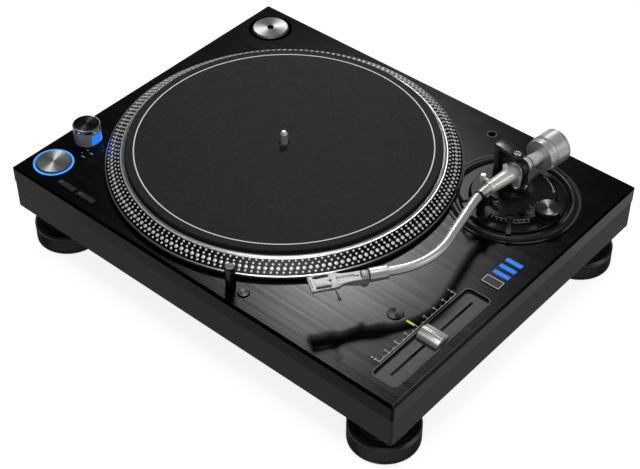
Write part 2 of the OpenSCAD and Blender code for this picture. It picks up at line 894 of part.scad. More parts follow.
foot_x = right - foot_inset;
foot_y = back - foot_inset;
stud_z = foot_clear - neck_gap;
stud_boss_r = stud_r + slip_gap + stud_boss_wall;
screw_y = cabinet_d / 2 - cabinet_wall - screw_in;
screw_x = cabinet_w / 2 - cabinet_wall - screw_in;
screw_spots = [[-screw_front_x, -screw_y], [screw_front_x, -screw_y], [-screw_rear_x, screw_y],
               [screw_rear_x, screw_y], [-screw_x, 0], [screw_x, 0]];

platter_x = -platter_left;
platter_y = -platter_front;
bevel_r = ring_r + ring_edge;
bevel_top = ring_z - ring_edge;
bevel_foot = rim_clear + rim_band;
under_knee = bevel_r + (bevel_top - rim_wall - under_z) * (platter_r - bevel_r) / (bevel_top - bevel_foot);
rim_reach = platter_r + rim_space;
mat_z = platter_z + mat_t;
spindle_z = mat_z + spindle_up;
well_depth = motor_well_depth + well_floor;
thrust_z = -shaft_depth - run_gap;
bearing_z = thrust_z - thrust_t - bearing_floor;

start_x = left + start_in_x;
start_y = front + start_in_y;
start_ring_in = start_r + start_gap;
start_ring_out = start_ring_in + start_ring_w;
speed_y = front + speed_in_y;
speed_33_x = left + speed_in_x;
speed_45_x = speed_33_x + speed_pitch;
adapter_x = left + adapter_in_x;
adapter_y = back - adapter_in_y;
adapter_well_r = adapter_r + adapter_gap;
pod_dx = left + pod_in_x - platter_x;
pod_dy = front + pod_in_y - platter_y;
pod_push = max(1, (rim_reach + pod_r) / norm([pod_dx, pod_dy]));
pod_x = platter_x + pod_dx * pod_push;
pod_y = platter_y + pod_dy * pod_push;
lamp_y = front + lamp_in_y;
lamp_reach = sqrt(max(0, pow(rim_reach + lamp_r, 2) - pow(lamp_y - platter_y, 2)));
lamp_x = max(lamp_right, platter_x + lamp_reach);
lamp_button_x = lamp_x + lamp_button_dx;
tempo_x = right - tempo_in_x;
tempo_y = front + tempo_in_y;
tempo_floor = tempo_depth + tempo_t;
slot_l = 2 * fader_travel + fader_stem_l + 2 * carriage_gap;
track_w = carriage_w + 2 * carriage_gap + 2 * track_wall;
track_l = 2 * fader_travel + carriage_l + carriage_gap + 2 * track_wall;
reset_x = tempo_x - reset_dx;
led_x = tempo_x - led_dx;
range_y = tempo_y + tempo_l / 2 + range_dy;
light_y = range_y + light_dy;
socket_x = socket_right;
socket_y = back - socket_in_y;

pivot_x = platter_x + pivot_dx;
pivot_y = platter_y + pivot_dy;
dial_z = lobe_z + dial_lobe_t;
collar_z = drum_up + collar_h;
gimbal_z = collar_z + gimbal_gap;
gimbal_top = gimbal_z + gimbal_h;
gimbal_out = gimbal_in + gimbal_t;
beam_z = gimbal_top + gimbal_gap;
beam_top = beam_z + yoke_beam_t;
saddle_top = arm_z - tube_r - rest_gap;
wall_x = tube_r + rest_side_gap;
clip_z = saddle_top - clip_drop;
clip_rise = arm_z + tube_r + clip_gap - clip_z;
clip_span = clip_dx + tube_r + clip_gap;

bend1_x = bend1_r * (1 - cos(bend1));
bend1_y = -tube_straight - bend1_r * sin(bend1);
mid_x = bend1_x + tube_mid * sin(bend1);
mid_y = bend1_y - tube_mid * cos(bend1);
bend2_cx = mid_x - bend2_r * cos(bend1);
bend2_cy = mid_y - bend2_r * sin(bend1);
head_turn = bend1 - bend2;
head_x = bend2_cx + bend2_r * cos(head_turn);
head_y = bend2_cy + bend2_r * sin(head_turn);
nut_front = nut_at + nut_l;
plug_back = nut_front - plug_in;
shell_back = nut_front + shell_gap;
shell_front = nut_front + shell_l;

rear_face = cabinet_d / 2;
rear_mid_z = foot_clear + rear_z;
rear_floor_y = rear_face - rear_depth;

black_c = [0.07, 0.07, 0.075];
dark_c = [0.15, 0.15, 0.155];
silver_c = [0.78, 0.78, 0.76];
cream_c = [0.86, 0.85, 0.80];
steel_c = [0.66, 0.67, 0.69];
brass_c = [0.75, 0.60, 0.30];
blue_c = [0.15, 0.40, 0.95];
rubber_c = [0.10, 0.10, 0.10];
felt_c = [0.20, 0.20, 0.21];
board_c = [0.10, 0.32, 0.18];

module rounded_rect(w, d, r) {
  square([w - 2 * r, d], center = true);
  square([w, d - 2 * r], center = true);
  for (sx = [-1, 1])
    for (sy = [-1, 1])
      translate([sx * (w / 2 - r), sy * (d / 2 - r)]) circle(r);
}

module slab(w, d, r, z, h) {
  translate([0, 0, z]) linear_extrude(h) rounded_rect(w, d, r);
}

module block(w, d, h) {
  translate([-w / 2, -d / 2, 0]) cube([w, d, h]);
}

module tube(r_out, r_in, h) {
  difference() {
    cylinder(r = r_out, h = h);
    translate([0, 0, -over]) cylinder(r = r_in, h = h + 2 * over);
  }
}

module beveled(r, h, b) {
  rotate_extrude() polygon([[0, 0], [r, 0], [r, h - b], [r - b, h], [0, h]]);
}

module on_deck(x, y, z = 0) {
  translate([x, y, deck_top + z]) children();
}

module boss(x, y, r, depth) {
  on_deck(x, y, -depth) cylinder(r = r, h = depth - deck_skin * half);
}

module well(x, y, r, depth) {
  on_deck(x, y, -depth) cylinder(r = r, h = depth + over);
}

module square_well(x, y, w, d, depth) {
  on_deck(x, y, -depth) block(w, d, depth + over);
}

module at_pivot(z = 0) {
  on_deck(pivot_x, pivot_y, z) children();
}

module arm_frame(z = 0) {
  at_pivot(z) rotate([0, 0, arm_yaw]) children();
}

module head_frame(z = 0) {
  arm_frame(z) translate([head_x, head_y, 0]) rotate([0, 0, head_turn]) children();
}

module ahead(from, to, r) {
  translate([0, -from, 0]) rotate([90, 0, 0]) cylinder(r = r, h = to - from);
}

module turned_ahead(from, to, r, b) {
  h = to - from;
  translate([0, -from, 0]) rotate([90, 90, 0])
    rotate_extrude() polygon([[0, 0], [r - b, 0], [r, b], [r, h - b], [r - b, h], [0, h]]);
}

module deck_shell() {
  difference() {
    slab(plinth_w, plinth_d, corner_r, deck_z, deck_h);
    slab(plinth_w - 2 * deck_wall, plinth_d - 2 * deck_wall, corner_r, deck_z - over,
         deck_h - deck_skin + over);
    for (a = [0, 180])
      rotate([0, 0, a]) translate([0, back, deck_top]) edge_cut(plinth_w);
    for (a = [90, 270])
      rotate([0, 0, a]) translate([0, right, deck_top]) edge_cut(plinth_d);
  }
}

module edge_cut(length) {
  rotate([90, 0, 90]) linear_extrude(length + 2 * over, center = true)
    polygon([[-edge_bevel - over, over], [over, -edge_bevel - over], [over, over]]);
}

module deck_plate() {
  color(black_c) difference() {
    union() {
      deck_shell();
      boss(platter_x, platter_y, motor_well_r + well_wall, well_depth);
      boss(adapter_x, adapter_y, adapter_well_r + boss_wall, adapter_depth + boss_floor);
      boss(start_x, start_y, start_ring_out + boss_wall, start_ring_depth + boss_floor);
      boss(lamp_x, lamp_y, lamp_r + boss_wall, lamp_guide);
      boss(pivot_x, pivot_y, arm_boss_r, arm_boss_depth);
      on_deck(tempo_x, tempo_y, -tempo_floor - tempo_ledge_t)
        block(tempo_w + 2 * boss_wall, tempo_l + 2 * boss_wall,
              tempo_floor + tempo_ledge_t - deck_skin * half);
    }
    well(platter_x, platter_y, motor_well_r, motor_well_depth);
    well(platter_x, platter_y, bearing_r, well_depth + over);
    well(adapter_x, adapter_y, adapter_well_r, adapter_depth);
    well(start_x, start_y, start_ring_out, start_ring_depth);
    well(start_x, start_y, stem_r + stem_gap, start_ring_depth + boss_floor + over);
    well(pod_x, pod_y, knob_shaft_r + stem_gap, deck_skin + over);
    square_well(speed_33_x, speed_y, speed_l + 2 * button_gap, speed_w + 2 * button_gap, deck_skin + over);
    square_well(speed_45_x, speed_y, speed_l + 2 * button_gap, speed_w + 2 * button_gap, deck_skin + over);
    well(lamp_x, lamp_y, lamp_r + slip_gap, lamp_guide + over);
    well(lamp_button_x, lamp_y, lamp_button_r + lamp_button_gap, deck_skin + over);
    on_deck(tempo_x, tempo_y, -tempo_floor) tempo_plate(tempo_floor + over);
    square_well(tempo_x, tempo_y, tempo_w - 2 * tempo_ledge, tempo_l - 2 * tempo_ledge,
                tempo_floor + tempo_ledge_t + over);
    well(reset_x, tempo_y, reset_r + button_gap, deck_skin + over);
    square_well(led_x, tempo_y, led_l, led_w, light_depth);
    square_well(tempo_x, range_y, range_l + 2 * button_gap, range_w + 2 * button_gap, deck_skin + over);
    for (i = [0 : 2])
      square_well(tempo_x, light_y + i * light_pitch, light_l, light_w, light_depth);
    well(socket_x, socket_y, socket_r, deck_skin + over);
    well(pivot_x, pivot_y, arm_open_r, arm_floor_depth);
    well(pivot_x, pivot_y, barrel_r + run_gap, arm_boss_depth + over);
  }
}

module base_cabinet() {
  inner_w = cabinet_w - 2 * cabinet_wall;
  inner_d = cabinet_d - 2 * cabinet_wall;
  color(dark_c) difference() {
    union() {
      difference() {
        slab(cabinet_w, cabinet_d, corner_r, foot_clear, cabinet_h);
        slab(inner_w, inner_d, corner_r, foot_clear - over, cabinet_h + 2 * over);
      }
      for (sx = [-1, 1])
        for (sy = [-1, 1])
          stud_boss(sx, sy);
      for (p = screw_spots)
        translate([p[0], p[1], cover_top]) cylinder(r = post_r, h = post_h);
    }
    at_feet() cylinder(r = stud_r + slip_gap, h = cover_t + stud_boss_h + over);
    for (p = screw_spots)
      translate([p[0], p[1], foot_clear]) cylinder(r = screw_r, h = cover_t + post_h - over);
    translate([rear_x, rear_face - cabinet_wall * half, rear_mid_z - rear_h / 2])
      block(rear_w, cabinet_wall + 2 * over, rear_h);
  }
}

module at_feet() {
  for (sx = [-1, 1])
    for (sy = [-1, 1])
      translate([sx * foot_x, sy * foot_y, foot_clear]) children();
}

module stud_boss(sx, sy) {
  reach_x = cabinet_w / 2 - cabinet_wall * half - foot_x;
  reach_y = cabinet_d / 2 - cabinet_wall * half - foot_y;
  translate([sx * foot_x, sy * foot_y, cover_top]) {
    cylinder(r = stud_boss_r, h = stud_boss_h);
    translate([sx * reach_x / 2, 0, 0]) block(reach_x, rib_t, stud_boss_h);
    translate([0, sy * reach_y / 2, 0]) block(rib_t, reach_y, stud_boss_h);
  }
}

module bottom_cover() {
  inner_w = cabinet_w - 2 * cabinet_wall - 2 * cover_gap;
  inner_d = cabinet_d - 2 * cabinet_wall - 2 * cover_gap;
  color(dark_c) difference() {
    slab(inner_w, inner_d, corner_r, foot_clear, cover_t);
    translate([0, 0, -over]) at_feet() cylinder(r = stud_r + 2 * over, h = cover_t + 2 * over);
    for (p = screw_spots)
      translate([p[0], p[1], foot_clear - over]) {
        cylinder(r = screw_r, h = cover_t + 2 * over);
        cylinder(r = screw_head_r, h = screw_head_h + over);
      }
  }
}

module cabinet_screws() {
  color(steel_c) for (p = screw_spots)
    translate([p[0], p[1], foot_clear]) {
      cylinder(r = screw_head_r, h = screw_head_h);
      cylinder(r = screw_r, h = cover_t + post_h - 2 * over);
    }
}

module motor_stator() {
  color(brass_c) on_deck(platter_x, platter_y, board_t - motor_well_depth) {
    tube(core_r, bearing_r, core_h);
    for (i = [0 : coil_count - 1])
      rotate([0, 0, (i + half) * 360 / coil_count]) coil();
  }
}

module coil() {
  translate([coil_ring_r, 0, 0]) cylinder(r = coil_r, h = coil_h);
  translate([core_r - over, -coil_r / 2, 0]) cube([coil_ring_r - core_r, coil_r, core_h]);
}

module board_switch(x, y) {
  on_deck(x, y, -board_depth) block(switch_w, switch_w, switch_h);
}

module standoff(x, y) {
  on_deck(x, y, -board_depth) cylinder(r = standoff_r, h = board_depth - deck_skin);
}

module board(x, y, w, d) {
  on_deck(x, y, -board_depth - board_t) block(w, d, board_t);
}

module circuit_boards() {
  left_x = left + left_board_in_x + left_board_l / 2;
  left_y = front + left_board_in_y + left_board_d / 2;
  left_edge = left_board_l / 2 - standoff_in;
  left_rear = left_y + left_board_d / 2 - standoff_in;
  right_x = tempo_x - tempo_w / 2 - right_board_w / 2 + track_w + tempo_ledge;
  right_y = front + right_board_in_y + right_board_d / 2;
  color(board_c) {
    on_deck(platter_x, platter_y, -motor_well_depth) tube(motor_board_r, bearing_r, board_t);
    board(left_x, left_y, left_board_l, left_board_d);
    standoff(left_x - left_edge, left_rear);
    standoff(left_x + left_edge, left_rear);
    standoff(left_x + left_edge, left_y);
    board_switch(start_x, start_y);
    board_switch(speed_33_x, speed_y);
    board_switch(speed_45_x, speed_y);
    on_deck(pod_x, pod_y, -board_depth) cylinder(r = switch_w, h = switch_h);
    board(lamp_button_x + switch_w * half, lamp_y, lamp_board_w, lamp_board_w);
    standoff(lamp_button_x + lamp_board_w * half, lamp_y);
    board_switch(lamp_button_x, lamp_y);
    board(right_x, right_y, right_board_w, right_board_d);
    for (sy = [-1, 1])
      standoff(right_x - right_board_w / 2 + standoff_in, right_y + sy * (right_board_d / 2 - standoff_in));
    board_switch(reset_x, tempo_y);
    board_switch(tempo_x, range_y);
    power_supply();
  }
}

module power_supply() {
  translate([-supply_left, supply_back, cover_top]) {
    for (sx = [-1, 1])
      for (sy = [-1, 1])
        translate([sx * (supply_l / 2 - standoff_in), sy * (supply_d / 2 - standoff_in), 0])
          cylinder(r = standoff_r, h = supply_up);
    translate([0, 0, supply_up]) block(supply_l, supply_d, board_t);
    translate([(trafo_w - supply_l) / 2 + standoff_in, 0, supply_up + board_t])
      block(trafo_w, trafo_w, trafo_h);
  }
}

module bearing_housing() {
  color(silver_c) on_deck(platter_x, platter_y) difference() {
    union() {
      translate([0, 0, bearing_z]) cylinder(r = bearing_r, h = bearing_up - bearing_z);
      translate([0, 0, -well_depth - flange_t]) cylinder(r = flange_r, h = flange_t);
    }
    translate([0, 0, bearing_z + bearing_floor]) cylinder(r = bush_r, h = bearing_up - bearing_z);
  }
}

module bearing_bush() {
  color(brass_c) on_deck(platter_x, platter_y) difference() {
    translate([0, 0, bearing_z + bearing_floor])
      cylinder(r = bush_r, h = bearing_up - bearing_z - bearing_floor);
    translate([0, 0, thrust_z]) cylinder(r = shaft_r + run_gap, h = bearing_up - bearing_z);
  }
}

module window_sector(r_out, r_in) {
  rotate([0, 0, window_az - window_angle / 2]) rotate_extrude(angle = window_angle)
    translate([r_in, window_z]) square([r_out - r_in, window_h]);
}

module strobe_housing() {
  color(steel_c) on_deck(pod_x, pod_y) difference() {
    cylinder(r = pod_r, h = pod_h);
    translate([0, 0, -over]) cylinder(r = pod_r - pod_wall, h = pod_h - pod_wall + over);
    cylinder(r = knob_shaft_r + knob_gap * half, h = pod_h + over);
    window_sector(pod_r + over, pod_r - pod_wall - over);
  }
}

module strobe_window() {
  color(blue_c) on_deck(pod_x, pod_y) window_sector(pod_r - knob_gap, pod_r - pod_wall);
}

module power_knob() {
  color(black_c) on_deck(pod_x, pod_y) {
    translate([0, 0, pod_h + knob_gap]) beveled(pod_r, knob_h, turned_bevel);
    translate([0, 0, -stem_down]) cylinder(r = knob_shaft_r, h = stem_down + pod_h + knob_gap);
  }
}

module start_ring() {
  color(blue_c) on_deck(start_x, start_y, -start_ring_depth)
    tube(start_ring_out, start_ring_in, start_ring_depth + start_ring_up);
}

module start_button() {
  color(silver_c) on_deck(start_x, start_y) {
    translate([0, 0, -start_down]) beveled(start_r, start_up + start_down, start_gap);
    translate([0, 0, -stem_down]) cylinder(r = stem_r, h = stem_down - start_down);
  }
}

module speed_button(x) {
  color(dark_c) on_deck(x, speed_y) {
    translate([0, 0, -cap_down]) block(speed_l, speed_w, speed_up + cap_down);
    translate([0, 0, -stem_down]) cylinder(r = stem_r, h = stem_down - cap_down);
  }
}

module speed_button_33() {
  speed_button(speed_33_x);
}

module speed_button_45() {
  speed_button(speed_45_x);
}

module round_button(x, y, r, up) {
  on_deck(x, y) {
    translate([0, 0, -cap_down]) beveled(r, up + cap_down, button_gap);
    translate([0, 0, -stem_down]) cylinder(r = stem_r, h = stem_down - cap_down);
  }
}

module reset_button() {
  color(dark_c) round_button(reset_x, tempo_y, reset_r, reset_up);
}

module lamp_button() {
  color(black_c) round_button(lamp_button_x, lamp_y, lamp_button_r, lamp_button_up);
}

module range_button() {
  color(dark_c) on_deck(tempo_x, range_y) {
    translate([0, 0, -cap_down]) block(range_l, range_w, range_up + cap_down);
    translate([0, 0, -stem_down]) cylinder(r = stem_r, h = stem_down - cap_down);
  }
}

module stylus_lamp() {
  color(black_c) on_deck(lamp_x, lamp_y, -lamp_down) beveled(lamp_r, lamp_down + lamp_up, turned_bevel);
}

module adapter_45() {
  color(silver_c) on_deck(adapter_x, adapter_y, -adapter_depth) difference() {
    beveled(adapter_r, adapter_h, adapter_bevel);
    translate([0, 0, -over]) cylinder(r = spindle_r + adapter_bore_gap, h = adapter_h + 2 * over);
  }
}

module tempo_plate(h) {
  linear_extrude(h) rounded_rect(tempo_w, tempo_l, tempo_corner);
}

module tempo_panel() {
  color(black_c) on_deck(tempo_x, tempo_y, -tempo_floor) difference() {
    tempo_plate(tempo_t);
    translate([0, 0, -over]) block(slot_w, slot_l, tempo_t + 2 * over);
  }
}

module fader_track() {
  h = board_depth - tempo_floor;
  color(steel_c) on_deck(tempo_x, tempo_y, -board_depth) difference() {
    block(track_w, track_l, h);
    translate([0, 0, track_wall]) block(track_w - 2 * track_wall, track_l - 2 * track_wall, h);
  }
}

module fader_cap() {
  top_l = cap_l / 2 - cap_taper;
  z0 = cap_gap - tempo_depth;
  color(silver_c) on_deck(tempo_x, tempo_y) {
    translate([0, 0, z0]) rotate([90, 0, 90]) linear_extrude(cap_w, center = true)
      polygon([[-cap_l / 2, 0], [cap_l / 2, 0], [top_l, cap_rest_h], [cap_ridge, cap_rest_h],
               [cap_ridge / 2, cap_h], [-cap_ridge / 2, cap_h], [-cap_ridge, cap_rest_h],
               [-top_l, cap_rest_h]]);
    translate([0, 0, -tempo_floor - carriage_gap])
      block(fader_stem_w, fader_stem_l, tempo_floor + carriage_gap + z0);
    translate([0, 0, -tempo_floor - carriage_gap - carriage_h]) block(carriage_w, carriage_l, carriage_h);
  }
}

module indicator_lights() {
  color(blue_c) {
    for (i = [0 : 2])
      on_deck(tempo_x, light_y + i * light_pitch, -light_depth) block(light_l, light_w, light_depth);
    on_deck(led_x, tempo_y, -light_depth) block(led_l, led_w, light_depth);
  }
}

module shell_socket() {
  color(black_c) on_deck(socket_x, socket_y, -socket_depth) difference() {
    cylinder(r = socket_r, h = socket_depth + socket_up);
    translate([0, 0, socket_floor]) cylinder(r = socket_bore_r, h = socket_depth + socket_up);
  }
}

module platter() {
  ring_in = ring_r - ring_w;
  color(silver_c) on_deck(platter_x, platter_y) rotate_extrude()
    polygon([[shaft_r, hub_z], [hub_r, hub_z], [hub_r, under_z], [min(under_r, under_knee), under_z],
             [max(rim_in_r, under_r), rim_clear], [platter_r, rim_clear], [platter_r, bevel_foot],
             [bevel_r, bevel_top], [ring_r, ring_z], [ring_in, ring_z],
             [ring_in, platter_z], [shaft_r, platter_z]]);
}

module rotor_magnet() {
  color(dark_c) on_deck(platter_x, platter_y, -magnet_depth)
    tube(magnet_out_r, magnet_in_r, magnet_depth + under_z);
}

module spindle() {
  color(steel_c) on_deck(platter_x, platter_y) rotate_extrude()
    polygon([[0, -shaft_depth], [shaft_r, -shaft_depth], [shaft_r, platter_z], [spindle_r, platter_z],
             [spindle_r, spindle_z - tip_h], [tip_r, spindle_z], [0, spindle_z]]);
}

module slipmat() {
  color(felt_c) on_deck(platter_x, platter_y, platter_z) tube(mat_r, shaft_r + mat_gap, mat_t);
}

module arm_well() {
  color(black_c) difference() {
    at_pivot() rotate_extrude() {
      translate([trim_in_r, 0]) square([trim_out_r - trim_in_r, trim_t]);
      translate([trim_out_r - trim_lip_w, 0]) square([trim_lip_w, trim_lip_h]);
      intersection() {
        translate([ridge_ring_r, 0]) circle(ridge_r);
        translate([trim_in_r, 0]) square([trim_out_r - trim_in_r, 2 * ridge_r]);
      }
    }
    on_deck(platter_x, platter_y, -over) cylinder(r = platter_r + trim_gap, h = 2 * ridge_r + over);
  }
}

module height_ring() {
  h = arm_floor_depth + height_up;
  color(black_c) at_pivot(-arm_floor_depth) rotate_extrude()
    polygon([[height_in_r, 0], [height_out_r, 0], [height_out_r, h - turned_bevel],
             [height_out_r - turned_bevel, h], [height_in_r + turned_bevel, h],
             [height_in_r, h - turned_bevel]]);
}

module arm_base() {
  color(black_c) difference() {
    union() {
      at_pivot(-arm_floor_depth) beveled(drum_r, arm_floor_depth + drum_up, turned_bevel);
      at_pivot(-arm_boss_depth) cylinder(r = barrel_r, h = arm_boss_depth);
      at_pivot() {
        translate([skate_dx, -skate_dy, lobe_z]) cylinder(r = dial_lobe_r, h = dial_lobe_t);
        translate([rest_dx, -rest_dy, lobe_z]) cylinder(r = rest_lobe_r, h = drum_up - lobe_z);
        translate([rest_dx, rest_lobe_r - rest_dy, lobe_z])
          block(2 * rest_lobe_r, 2 * rest_lobe_r, drum_up - lobe_z);
        translate([0, 0, drum_up]) cylinder(r = collar_r, h = collar_h);
        translate([0, 0, collar_z]) cylinder(r = pin_r, h = pin_len);
      }
    }
    at_pivot() {
      translate([0, 0, -arm_boss_depth - over])
        cylinder(r = barrel_in_r, h = arm_boss_depth + over + drum_up - drum_top_t);
      translate([skate_dx, -skate_dy, dial_z]) cylinder(r = skate_r + skate_gap, h = skate_h);
      translate([skate_dx, -skate_dy, 0]) cylinder(r = skate_shaft_r + run_gap, h = skate_h);
      translate([lock_dx, -lock_dy, drum_up - lock_shaft_len - lock_gap])
        cylinder(r = lock_shaft_r + run_gap, h = lock_shaft_len + lock_gap + over);
      rotate([0, 0, -90 - lifter_plunger_at]) translate([lifter_r, 0, -plunger_down - lock_gap])
        cylinder(r = plunger_r + run_gap, h = plunger_down + drum_up + over);
      cue_notch();
    }
  }
}

module cue_notch() {
  depth = cue_barrel_r + cue_gap;
  rotate([0, 0, cue_az]) translate([cue_hinge_r, 0, cue_hinge_z]) {
    translate([drum_r / 2 - depth, 0, -depth]) block(drum_r, cue_barrel_w + 2 * cue_gap, drum_up);
    rotate([90, 0, 0])
      cylinder(r = cue_pin_r + run_gap, h = cue_barrel_w + 2 * cue_pin_len + 2 * cue_gap, center = true);
  }
}

module arm_yoke() {
  color(black_c) arm_frame() difference() {
    union() {
      translate([-yoke_left, -yoke_front, drum_up]) cube([yoke_post_t, yoke_d, beam_top - drum_up]);
      translate([0, 0, beam_z]) linear_extrude(yoke_beam_t) {
        polygon([[-yoke_left, -yoke_front], [0, -yoke_end_r], [0, yoke_end_r],
                 [-yoke_left + yoke_post_t, yoke_d - yoke_front], [-yoke_left, yoke_d - yoke_front]]);
        circle(yoke_end_r);
      }
    }
    translate([0, 0, beam_z - over]) cylinder(r = pivot_screw_r, h = yoke_beam_t + 2 * over);
  }
}

module pivot_screw() {
  color(steel_c) arm_frame() {
    translate([0, 0, beam_top]) cylinder(r = pivot_head_r, h = pivot_head_h);
    translate([0, 0, gimbal_top - pivot_screw_in])
      cylinder(r = pivot_screw_r, h = pivot_screw_in + beam_top - gimbal_top);
  }
}

module arm_rest() {
  saddle_h = saddle_top - rest_saddle_z;
  saddle_w = clip_dx + wall_x + rest_wall_t;
  color(black_c) at_pivot() translate([rest_dx, -rest_dy, 0]) difference() {
    union() {
      translate([0, 0, drum_up]) block(rest_post_w, rest_l, rest_saddle_z - drum_up);
      translate([-clip_dx, -rest_l / 2, rest_saddle_z]) cube([saddle_w, rest_l, saddle_h]);
      translate([wall_x, -rest_l / 2, saddle_top]) cube([rest_wall_t, rest_l, rest_wall_h]);
      translate([-clip_dx, rest_l / 2, clip_z]) rotate([90, 0, 0])
        cylinder(r = saddle_top - clip_z, h = rest_l);
    }
    translate([-clip_dx, rest_l, clip_z]) rotate([90, 0, 0])
      cylinder(r = clip_pin_r + run_gap, h = 2 * rest_l);
  }
}

module rest_clip() {
  y0 = -rest_l / 2 - clip_side_gap - clip_w;
  color(black_c) at_pivot() translate([rest_dx - clip_dx, -rest_dy, clip_z]) rotate([0, -clip_open, 0]) {
    translate([0, rest_l / 2, 0]) rotate([90, 0, 0]) cylinder(r = clip_pin_r, h = rest_l + clip_side_gap);
    translate([0, y0 + clip_w, 0]) rotate([90, 0, 0]) cylinder(r = clip_barrel_r, h = clip_w);
    translate([-clip_t / 2, y0, 0]) cube([clip_t, clip_w, clip_rise + clip_t]);
    translate([-clip_t / 2, y0, clip_rise]) cube([clip_span + clip_t + clip_t / 2, clip_w, clip_t]);
    translate([clip_span, y0, clip_rise - clip_lip]) cube([clip_t, clip_w, clip_lip + clip_t]);
  }
}

module lock_knob() {
  color(black_c) at_pivot() translate([lock_dx, -lock_dy, drum_up]) {
    translate([0, 0, lock_gap]) beveled(lock_r, lock_h, lock_gap);
    translate([0, 0, -lock_shaft_len]) cylinder(r = lock_shaft_r, h = lock_shaft_len + lock_gap);
  }
}

module antiskate_dial() {
  color(black_c) at_pivot() translate([skate_dx, -skate_dy, dial_z]) {
    translate([0, 0, skate_gap]) beveled(skate_r, skate_h, turned_bevel);
    translate([0, 0, -dial_lobe_t]) cylinder(r = skate_shaft_r, h = dial_lobe_t + skate_gap);
  }
}

module cue_lever() {
  color(dark_c) at_pivot() rotate([0, 0, cue_az]) translate([0, 0, cue_hinge_z]) {
    translate([cue_hinge_r, 0, 0]) rotate([90, 0, 0]) {
      cylinder(r = cue_barrel_r, h = cue_barrel_w, center = true);
      cylinder(r = cue_pin_r, h = cue_barrel_w + 2 * cue_pin_len, center = true);
    }
    translate([cue_hinge_r, -cue_w / 2, -cue_t / 2]) cube([cue_tip_r - cue_hinge_r, cue_w, cue_t]);
    translate([cue_tip_r - cue_tip_l, -cue_w / 2 - cue_tip_extra / 2, -cue_t / 2])
      cube([cue_tip_l, cue_w + cue_tip_extra, cue_t]);
  }
}

module cue_lifter() {
  color(black_c) at_pivot() {
    rotate([0, 0, -90 - lifter_angle]) rotate_extrude(angle = lifter_angle)
      translate([lifter_r - lifter_w / 2, lifter_z]) square([lifter_w, lifter_t]);
    rotate([0, 0, -90 - lifter_plunger_at]) translate([lifter_r, 0, -plunger_down])
      cylinder(r = plunger_r, h = plunger_down + lifter_z + lifter_t * half);
  }
}

module gimbal_ring() {
  inner_h = gimbal_h - gimbal_foot_t - gimbal_top_t;
  color(black_c) arm_frame() {
    difference() {
      translate([0, gimbal_d / 2, gimbal_z + gimbal_h / 2]) rotate([90, 0, 0])
        linear_extrude(gimbal_d) rounded_rect(2 * gimbal_out, gimbal_h, gimbal_corner);
      translate([0, gimbal_d, gimbal_z + gimbal_foot_t + inner_h / 2]) rotate([90, 0, 0])
        linear_extrude(2 * gimbal_d) square([2 * gimbal_in, inner_h], center = true);
      translate([0, 0, gimbal_z - over]) cylinder(r = pin_r + run_gap, h = gimbal_foot_t + 2 * over);
      translate([0, 0, gimbal_top - gimbal_top_t - over])
        cylinder(r = pivot_screw_r + run_gap, h = gimbal_top_t + 2 * over);
    }
    for (s = [-1, 1])
      translate([0, 0, tilt_z]) rotate([0, s * 90, 0]) {
        translate([0, 0, gimbal_in - tilt_pin_len])
          cylinder(r = tilt_pin_r, h = tilt_pin_len + gimbal_t * half);
        translate([0, 0, gimbal_out - over]) cylinder(r = side_screw_r, h = over + side_screw_h);
      }
  }
}

module arm_housing() {
  color(cream_c) arm_frame(arm_z) {
    difference() {
      union() {
        turned_ahead(-housing_back, housing_front, housing_r, housing_bevel);
        for (s = [-1, 1])
          tilt_lug(s);
      }
      translate([0, 0, tilt_z - arm_z]) rotate([0, 90, 0])
        cylinder(r = tilt_pin_r + run_gap, h = 4 * lug_out, center = true);
    }
    ahead(housing_front - over, tube_straight, collar_front_r);
    ahead(-rear_back, -housing_back + over, rear_r);
    ahead(-tail_back, -rear_back + over, tail_r);
    translate([-ear_dx, -ear_dy, 0]) beveled(ear_r, ear_up, housing_bevel);
    translate([0, -stub_front, 0]) rotate([0, -90, 0]) cylinder(r = stub_r, h = stub_out);
    translate([-stub_out, -stub_front, -stub_drop]) cylinder(r = stub_weight_r, h = stub_weight_h);
  }
}

module tilt_lug(s) {
  drop = arm_z - tilt_z;
  translate([s * (lug_out - lug_t / 2), 0, 0]) {
    translate([0, 0, -drop]) rotate([0, 90, 0]) cylinder(r = lug_r, h = lug_t, center = true);
    translate([0, 0, -drop]) block(lug_t, lug_d, drop - lug_t * half);
  }
}

module arm_tube() {
  color(silver_c) arm_frame(arm_z) {
    translate([bend1_r, -tube_straight, 0]) rotate([0, 0, 180]) rotate_extrude(angle = bend1)
      translate([bend1_r, 0]) circle(tube_r);
    translate([bend1_x, bend1_y, 0]) rotate([0, 0, bend1]) {
      ahead(0, tube_mid, tube_r);
      tube_seam(0);
      tube_seam(tube_mid);
    }
    translate([bend2_cx, bend2_cy, 0]) rotate([0, 0, head_turn]) rotate_extrude(angle = bend2)
      translate([bend2_r, 0]) circle(tube_r);
    translate([head_x, head_y, 0]) rotate([0, 0, head_turn]) {
      ahead(0, tube_end, tube_r);
      tube_seam(0);
    }
  }
}

module tube_seam(at) {
  ahead(at - seam_w / 2, at + seam_w / 2, tube_r + seam_up);
}

module force_dial() {
  color(silver_c) arm_frame(arm_z) difference() {
    ahead(-force_at - force_w, -force_at, force_r);
    ahead(-force_at - force_w - over, -force_at + over, tail_r + slip_gap);
  }
}

module counterweight() {
  from = force_at + force_w + weight_gap;
  color(silver_c) arm_frame(arm_z) difference() {
    turned_ahead(-from - weight_l, -from, weight_r, weight_bevel);
    ahead(-from - weight_l + weight_cap, -from + over, tail_r + slip_gap);
    ahead(-from - weight_l + weight_cap, -from - weight_grip, weight_core_r);
  }
}

module shell_nut() {
  color(silver_c) head_frame(arm_z) difference() {
    turned_ahead(nut_at, nut_front, nut_r, turned_bevel);
    ahead(nut_at - over, nut_front + over, tube_r + slip_gap);
  }
}

